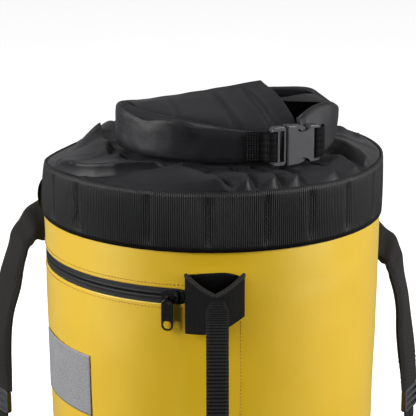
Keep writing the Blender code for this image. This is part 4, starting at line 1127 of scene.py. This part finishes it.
def build_patches():
    low, high = (corner.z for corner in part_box("grey_patch"))

    def film_point(u, v):
        azimuth, height = -78 + 34 * u, low + (high + 0.0025 - low) * v
        return on_ring(wall_radius(height) + 0.0008 + max(0, cloth_waver(azimuth, height)) * 0.6, azimuth, height)

    made = cloth("grey_film_patch", film_point, 60, 30, (0.087, high - low), GREY_FILM)
    finished(thicken(made, 0.0006), ("grey_patch",), "bag")
    for side, azimuth in (("left", -97.0), ("right", 107.0)):
        middle = RIM_BOTTOM + 0.008
        stations = []
        for k in range(11):
            share = k / 10
            lift = 0.001 + 0.0038 * sin(pi * share) ** 0.7
            place = on_ring(RIM_RADIUS + 0.0005 + lift, azimuth, middle + 0.016 - 0.032 * share)
            stations.append((sagged(place), along_wall(azimuth)))
        made = strap(f"rim_loop_{side}", stations, 0.02, 0.0014, 60, RIBBED_WEBBING, across_steps=4)
        finished(made, (f"haul_loop_{side}",), "bag")
    low, high = (corner.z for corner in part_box("back_pad"))

    def pad_point(u, v):
        """A crowned pad with two sewn channels across it."""
        face = u < 0.5
        across = 2 * u if face else 2 - 2 * u
        azimuth = 138 + 84 * across
        height = low + (high - low) * v
        edge = min(across, 1 - across) * 84 / 180 * pi * 0.147, min(v, 1 - v) * (high - low)
        crown = sqrt(clamp(1 - (1 - clamp(min(edge) / 0.012)) ** 2))
        channels = sum(exp(-((v - place) / 0.012) ** 2) for place in (0.34, 0.67))
        thickness = 0.0022 + 0.0074 * crown * (1 - 0.6 * channels)
        base = wall_radius(height) + 0.0004
        return on_ring(base + (thickness if face else 0.0), azimuth, height)

    size = (0.43, 0.253)
    made = cloth("back_cushion", pad_point, 120, 90, size, PADDED_CLOTH, wrap=True, caps=True, sharp=60)
    finished(made, ("back_pad",), "bag")
    low, high = (corner.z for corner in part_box("strap_yoke"))

    def yoke_point(u, v):
        azimuth, height = 153 + 54 * u, low + (high - low) * v
        return on_ring(wall_radius(height) + 0.0011 + 0.0002 * sin(u * 40), azimuth, height)

    made = cloth("yoke_band", yoke_point, 90, 12, (0.138, high - low), WEBBING)
    finished(thicken(made, 0.0014), ("strap_yoke",), "bag")
    marks = []
    for height in (low + 0.003, high - 0.003):
        marks += ring_marks(lambda z: wall_radius(z) + 0.0018, 154, 206, height, 0.0032, 0.0022, 0.0001)
    stitches("yoke_stitching", marks, 0.0006, BLACK_THREAD, "bag")
    low, high = (corner.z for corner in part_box("base_boot"))

    def boot_point(u, v):
        azimuth, height = 360 * u - 180, low + (high - low) * v
        round_off = 0.0012 * exp(-height / 0.004)
        return on_ring(wall_radius(height) + 0.001 - round_off, azimuth, height)

    made = cloth("boot", boot_point, 192, 20, (0.91, 0.042), BLACK_COATED, wrap=True)
    finished(thicken(made, 0.0014, even=False), ("base_boot",), "bag")
    low, high = (corner.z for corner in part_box("base_binding"))

    def binding_point(u, v):
        azimuth, height = 360 * u - 180, low + (high - low) * v
        return on_ring(wall_radius(0.045) + 0.0025 + 0.0004 * sin(pi * v), azimuth, height)

    made = cloth("boot_binding", binding_point, 192, 8, (0.91, 0.012), RIM_CLOTH, wrap=True)
    finished(thicken(made, 0.001, even=False), ("base_binding",), "bag")
    marks = []
    for height in (low + 0.0022, high - 0.0022):
        marks += ring_marks(lambda z: wall_radius(0.045) + 0.0032, -180, 180, height, 0.0036, 0.0024, 0.0)
    stitches("binding_stitching", marks, 0.0006, BLACK_THREAD, "bag")


# ---- Shoulder straps ---------------------------------------------------------------------------------------

PAD_ROUTES = {
    "left": (
        (-164.3, 0.0065, 0.024, (0, 0, 1)), (-144.9, 0.0166, 0.024, (0, 0, 1)),
        (-132.0, 0.035, 0.032, (-0.05, 0.25, 0.95)), (-124.5, 0.0459, 0.043, (-0.2, 0.55, 0.8)),
        (-120.3, 0.0525, 0.048, (-0.34, 0.83, 0.45)), (-117.8, 0.057, 0.059, (-0.42, 0.87, 0.22)),
        (-116.4, 0.0595, 0.074, (-0.47, 0.88, 0.08)), (-115.2, 0.065, 0.1, (-0.56, 0.82, 0.02)),
        (-113.8, 0.071, 0.13, (-0.58, 0.81, 0)), (-113.2, 0.074, 0.165, (-0.6, 0.8, 0)),
        (-113.2, 0.074, 0.205, (-0.6, 0.8, 0)),
    ),
    "right": (
        (164.3, 0.0065, 0.024, (0, 0, 1)), (144.9, 0.0166, 0.027, (0, 0, 1)),
        (132.0, 0.0315, 0.044, (0.02, 0.35, 0.93)), (123.8, 0.0419, 0.062, (0.08, 0.7, 0.68)),
        (120.4, 0.0485, 0.072, (0.25, 0.84, 0.46)), (119.0, 0.0516, 0.083, (0.32, 0.91, 0.28)),
        (118.1, 0.053, 0.097, (0.3, 0.95, 0.06)), (117.1, 0.0565, 0.12, (0.3, 0.95, 0)),
        (116.3, 0.059, 0.155, (0.4, 0.91, 0)), (115.4, 0.064, 0.205, (0.45, 0.88, 0)),
    ),
}


def pad_section(u, thickness, width):
    """A flat padded strap: a crowned middle between two bound edges."""
    angle = 2 * pi * u
    c, s = cos(angle), sin(angle)
    side = abs(c) ** 0.42 * (1 if c > 0 else -1)
    rise = abs(s) ** 0.55 * (1 if s > 0 else -1)
    edge = 1 - abs(side)
    crown = 0.5 + 0.5 * smooth(edge / 0.28)
    return side * width / 2, rise * thickness / 2 * crown


def build_strap(side, sign):
    route = [
        (on_ring(WALL_TOP_RADIUS + out, azimuth, RIM_BOTTOM - drop), Vector(across).normalized())
        for azimuth, out, drop, across in PAD_ROUTES[side]
    ]
    centres, acrosses = [c for c, _ in route], [a for _, a in route]
    body = f"strap_{side}"

    def frame_at(v):
        across = through(acrosses, v).normalized()
        tangent = through(centres, min(1, v + 0.01)) - through(centres, max(0, v - 0.01))
        return through(centres, v), across, tangent.cross(across).normalized(), tangent.normalized()

    def pad_point(u, v):
        centre, across, out, _ = frame_at(v)
        x, y = pad_section(u, 0.0078, 0.042)
        loose = noise.noise(Vector((v * 9, x * 60, sign * 4)))
        ruck = 0.001 * loose + 0.0012 * sin(v * 46) * exp(-((v - 0.42) / 0.12) ** 2)
        thin = 0.55 + 0.45 * smooth(v * 9) * smooth((1 - v) * 12)
        return centre + across * x + out * (y * thin + ruck * smooth(v * 6))

    made = cloth(
        f"shoulder_pad_{side}", pad_point, 44, 150, (0.096, 0.32), PADDED_CLOTH, wrap=True, caps=True, sharp=60,
    )
    finished(made, (f"strap_pad_{side}",), body)
    marks = []
    for k in range(88):
        v = (k + 1.5) / 90
        centre, across, out, tangent = frame_at(v)
        for edge in (-1, 1):
            for face in (-1, 1):
                marks.append((centre + across * (edge * 0.0172) + out * (face * 0.0026), tangent, out * face, 0.0022))
    stitches(f"shoulder_stitching_{side}", marks, 0.0006, BLACK_THREAD, body)
    dressed(f"ladder_lock_{side}", PLASTIC)

    across = -acrosses[-1]
    lock_end = centres[-1] + Vector((0, 0, -(0.024 + 0.001)))
    azimuth = sign * 127.0
    foot_height = 0.072
    spread = degrees(0.02 / wall_radius(foot_height))
    radius = wall_radius(foot_height) + 0.0003 + 0.0015
    edge = azimuth - sign * (spread + 0.15)
    foot = on_ring(radius, edge, foot_height)
    near = foot + along_wall(edge) * (-sign * 0.012) + outwards(edge) * 0.0008
    off = foot + along_wall(edge) * (-sign * 0.027) + outwards(edge) * 0.005 + Vector((0, 0, 0.001))
    upright = Vector((0, 0, 1))
    lower = lock_end + Vector((0, 0, -0.015))
    turn = lower.lerp(off, 0.45) + Vector((sign * 0.016, 0.004, -0.008))
    stations = (
        (lock_end, across), (lower, across), (turn, across * 0.6 + upright * 0.4), (off, upright), (near, upright),
        (foot, upright),
    )
    made = strap(f"lower_webbing_{side}", stations, 0.025, 0.0016, 150, RIBBED_WEBBING, across_steps=4)
    finished(made, (f"strap_webbing_{side}",))
    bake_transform(made)
    low, high = (corner.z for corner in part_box(f"strap_foot_{side}"))

    def foot_point(u, v):
        place = azimuth + spread * (2 * u - 1)
        height = low + (high - low) * v
        return on_ring(wall_radius(height) + 0.0018, place, height)

    made = cloth(f"webbing_foot_{side}", foot_point, 16, 10, (0.04, 0.026), WEBBING)
    finished(thicken(made, 0.003), (f"strap_foot_{side}",), "bag")


# ---- Everything --------------------------------------------------------------------------------------------


def dress_nodes():
    for node in ("buckle_socket", "buckle_plug", "prong_upper", "prong_lower"):
        dressed(node, PLASTIC)
    for node in ("zip_slider", "zip_pull", "zip_stop_near", "zip_stop_far"):
        dressed(node, METAL)
    for node in ("base_sole", "base_panel"):
        dressed(node, BLACK_NODE)


BLACK_NODE = finish_of(
    "moulded_sole",
    lambda r: (
        r.mix(r.noise(60, 4), colour(0.015, 0.015, 0.016), colour(0.03, 0.03, 0.031)),
        0.5 + r.noise(30, 3) * 0.2, r.bump(r.noise(500, 3), 0.0002, 0.5),
    ),
    specular=0.4,
)


def build_studio():
    """A pale floor, two soft boxes, and a bright room that is darker behind the camera."""
    bm = bmesh.new()
    bmesh.ops.create_circle(bm, cap_ends=True, segments=64, radius=9.0)
    paper = finish_of("floor_paper", lambda r: (
        r.mix(r.noise(3, 2), colour(0.88, 0.88, 0.88), colour(0.92, 0.92, 0.92)),
        0.8,
        r.bump(r.noise(80, 2), 0.0004, 0.2),
    ))
    glow = paper.node_tree.nodes["Principled BSDF"].inputs
    glow["Emission Color"].default_value, glow["Emission Strength"].default_value = colour(1, 1, 1), 0.65
    floor = settle(bm, "floor", paper)
    floor.visible_diffuse = floor.visible_glossy = False
    world = bpy.data.worlds.new("studio")
    world.use_nodes = True
    bpy.context.scene.world = world
    tree = world.node_tree
    tree.nodes.clear()
    r = Recipe(tree)
    way = r.node("ShaderNodeTexCoord", output="Generated")
    towards = r.node("ShaderNodeSeparateXYZ", inputs={0: way}, output=1)
    height = r.node("ShaderNodeSeparateXYZ", inputs={0: way}, output=2)
    across = r.node("ShaderNodeSeparateXYZ", inputs={0: way})
    behind = ((towards + 0.45) * 0.75).largest(0.0).smallest(1.0)
    below = (0.0 - height * 2.0).largest(0.0).smallest(1.0)
    glow = behind * behind * 0.42 + height.largest(0.0) * 0.05 + across * across * 0.46 + 0.025
    glow = glow * (1 - below * 0.8)
    room = r.node("ShaderNodeBackground", {}, {"Color": colour(1, 1, 1), "Strength": glow})
    seen = r.node("ShaderNodeBackground", {}, {"Color": colour(1, 1, 1), "Strength": 1.0})
    camera_ray = r.node("ShaderNodeLightPath", output="Is Camera Ray")
    both = r.node("ShaderNodeMixShader", {}, {0: camera_ray, 1: room, 2: seen})
    r.node("ShaderNodeOutputWorld", {}, {"Surface": both})
    for name, place, size, power in (
        ("left box", (-1.75, -0.75, 0.95), (0.8, 1.4), 46),
        ("right box", (1.78, -0.68, 0.95), (0.8, 1.4), 46),
        ("top box", (0.1, 0.3, 2.0), (1.4, 1.0), 6),
    ):
        lamp = bpy.data.lights.new(name, "AREA")
        lamp.shape = "RECTANGLE"
        lamp.size, lamp.size_y = size
        lamp.energy = power
        made = bpy.data.objects.new(name, lamp)
        made.location = place
        made.rotation_euler = (Vector((0, 0, 0.38)) - Vector(place)).to_track_quat("-Z", "Y").to_euler()
        bpy.context.scene.collection.objects.link(made)


def place_camera():
    lens = bpy.data.cameras.new("camera")
    lens.lens, lens.sensor_width = 147.1, 36.0
    lens.shift_x, lens.shift_y = -0.0094, -0.0079
    lens.clip_start, lens.clip_end = 0.05, 50
    made = bpy.data.objects.new("camera", lens)
    made.location = (0, -1.4585, 0.7608)
    made.rotation_euler = (radians(75), 0, 0)
    bpy.context.scene.collection.objects.link(made)
    bpy.context.scene.camera = made
    bpy.context.scene.view_settings.view_transform = "Standard"


place_camera()
build_studio()
build_wall()
build_rim()
build_skirt()
build_roll()
build_buckle()
build_zip()
build_handle()
build_patches()
for side, sign in (("left", -1), ("right", 1)):
    build_strap(side, sign)
dress_nodes()
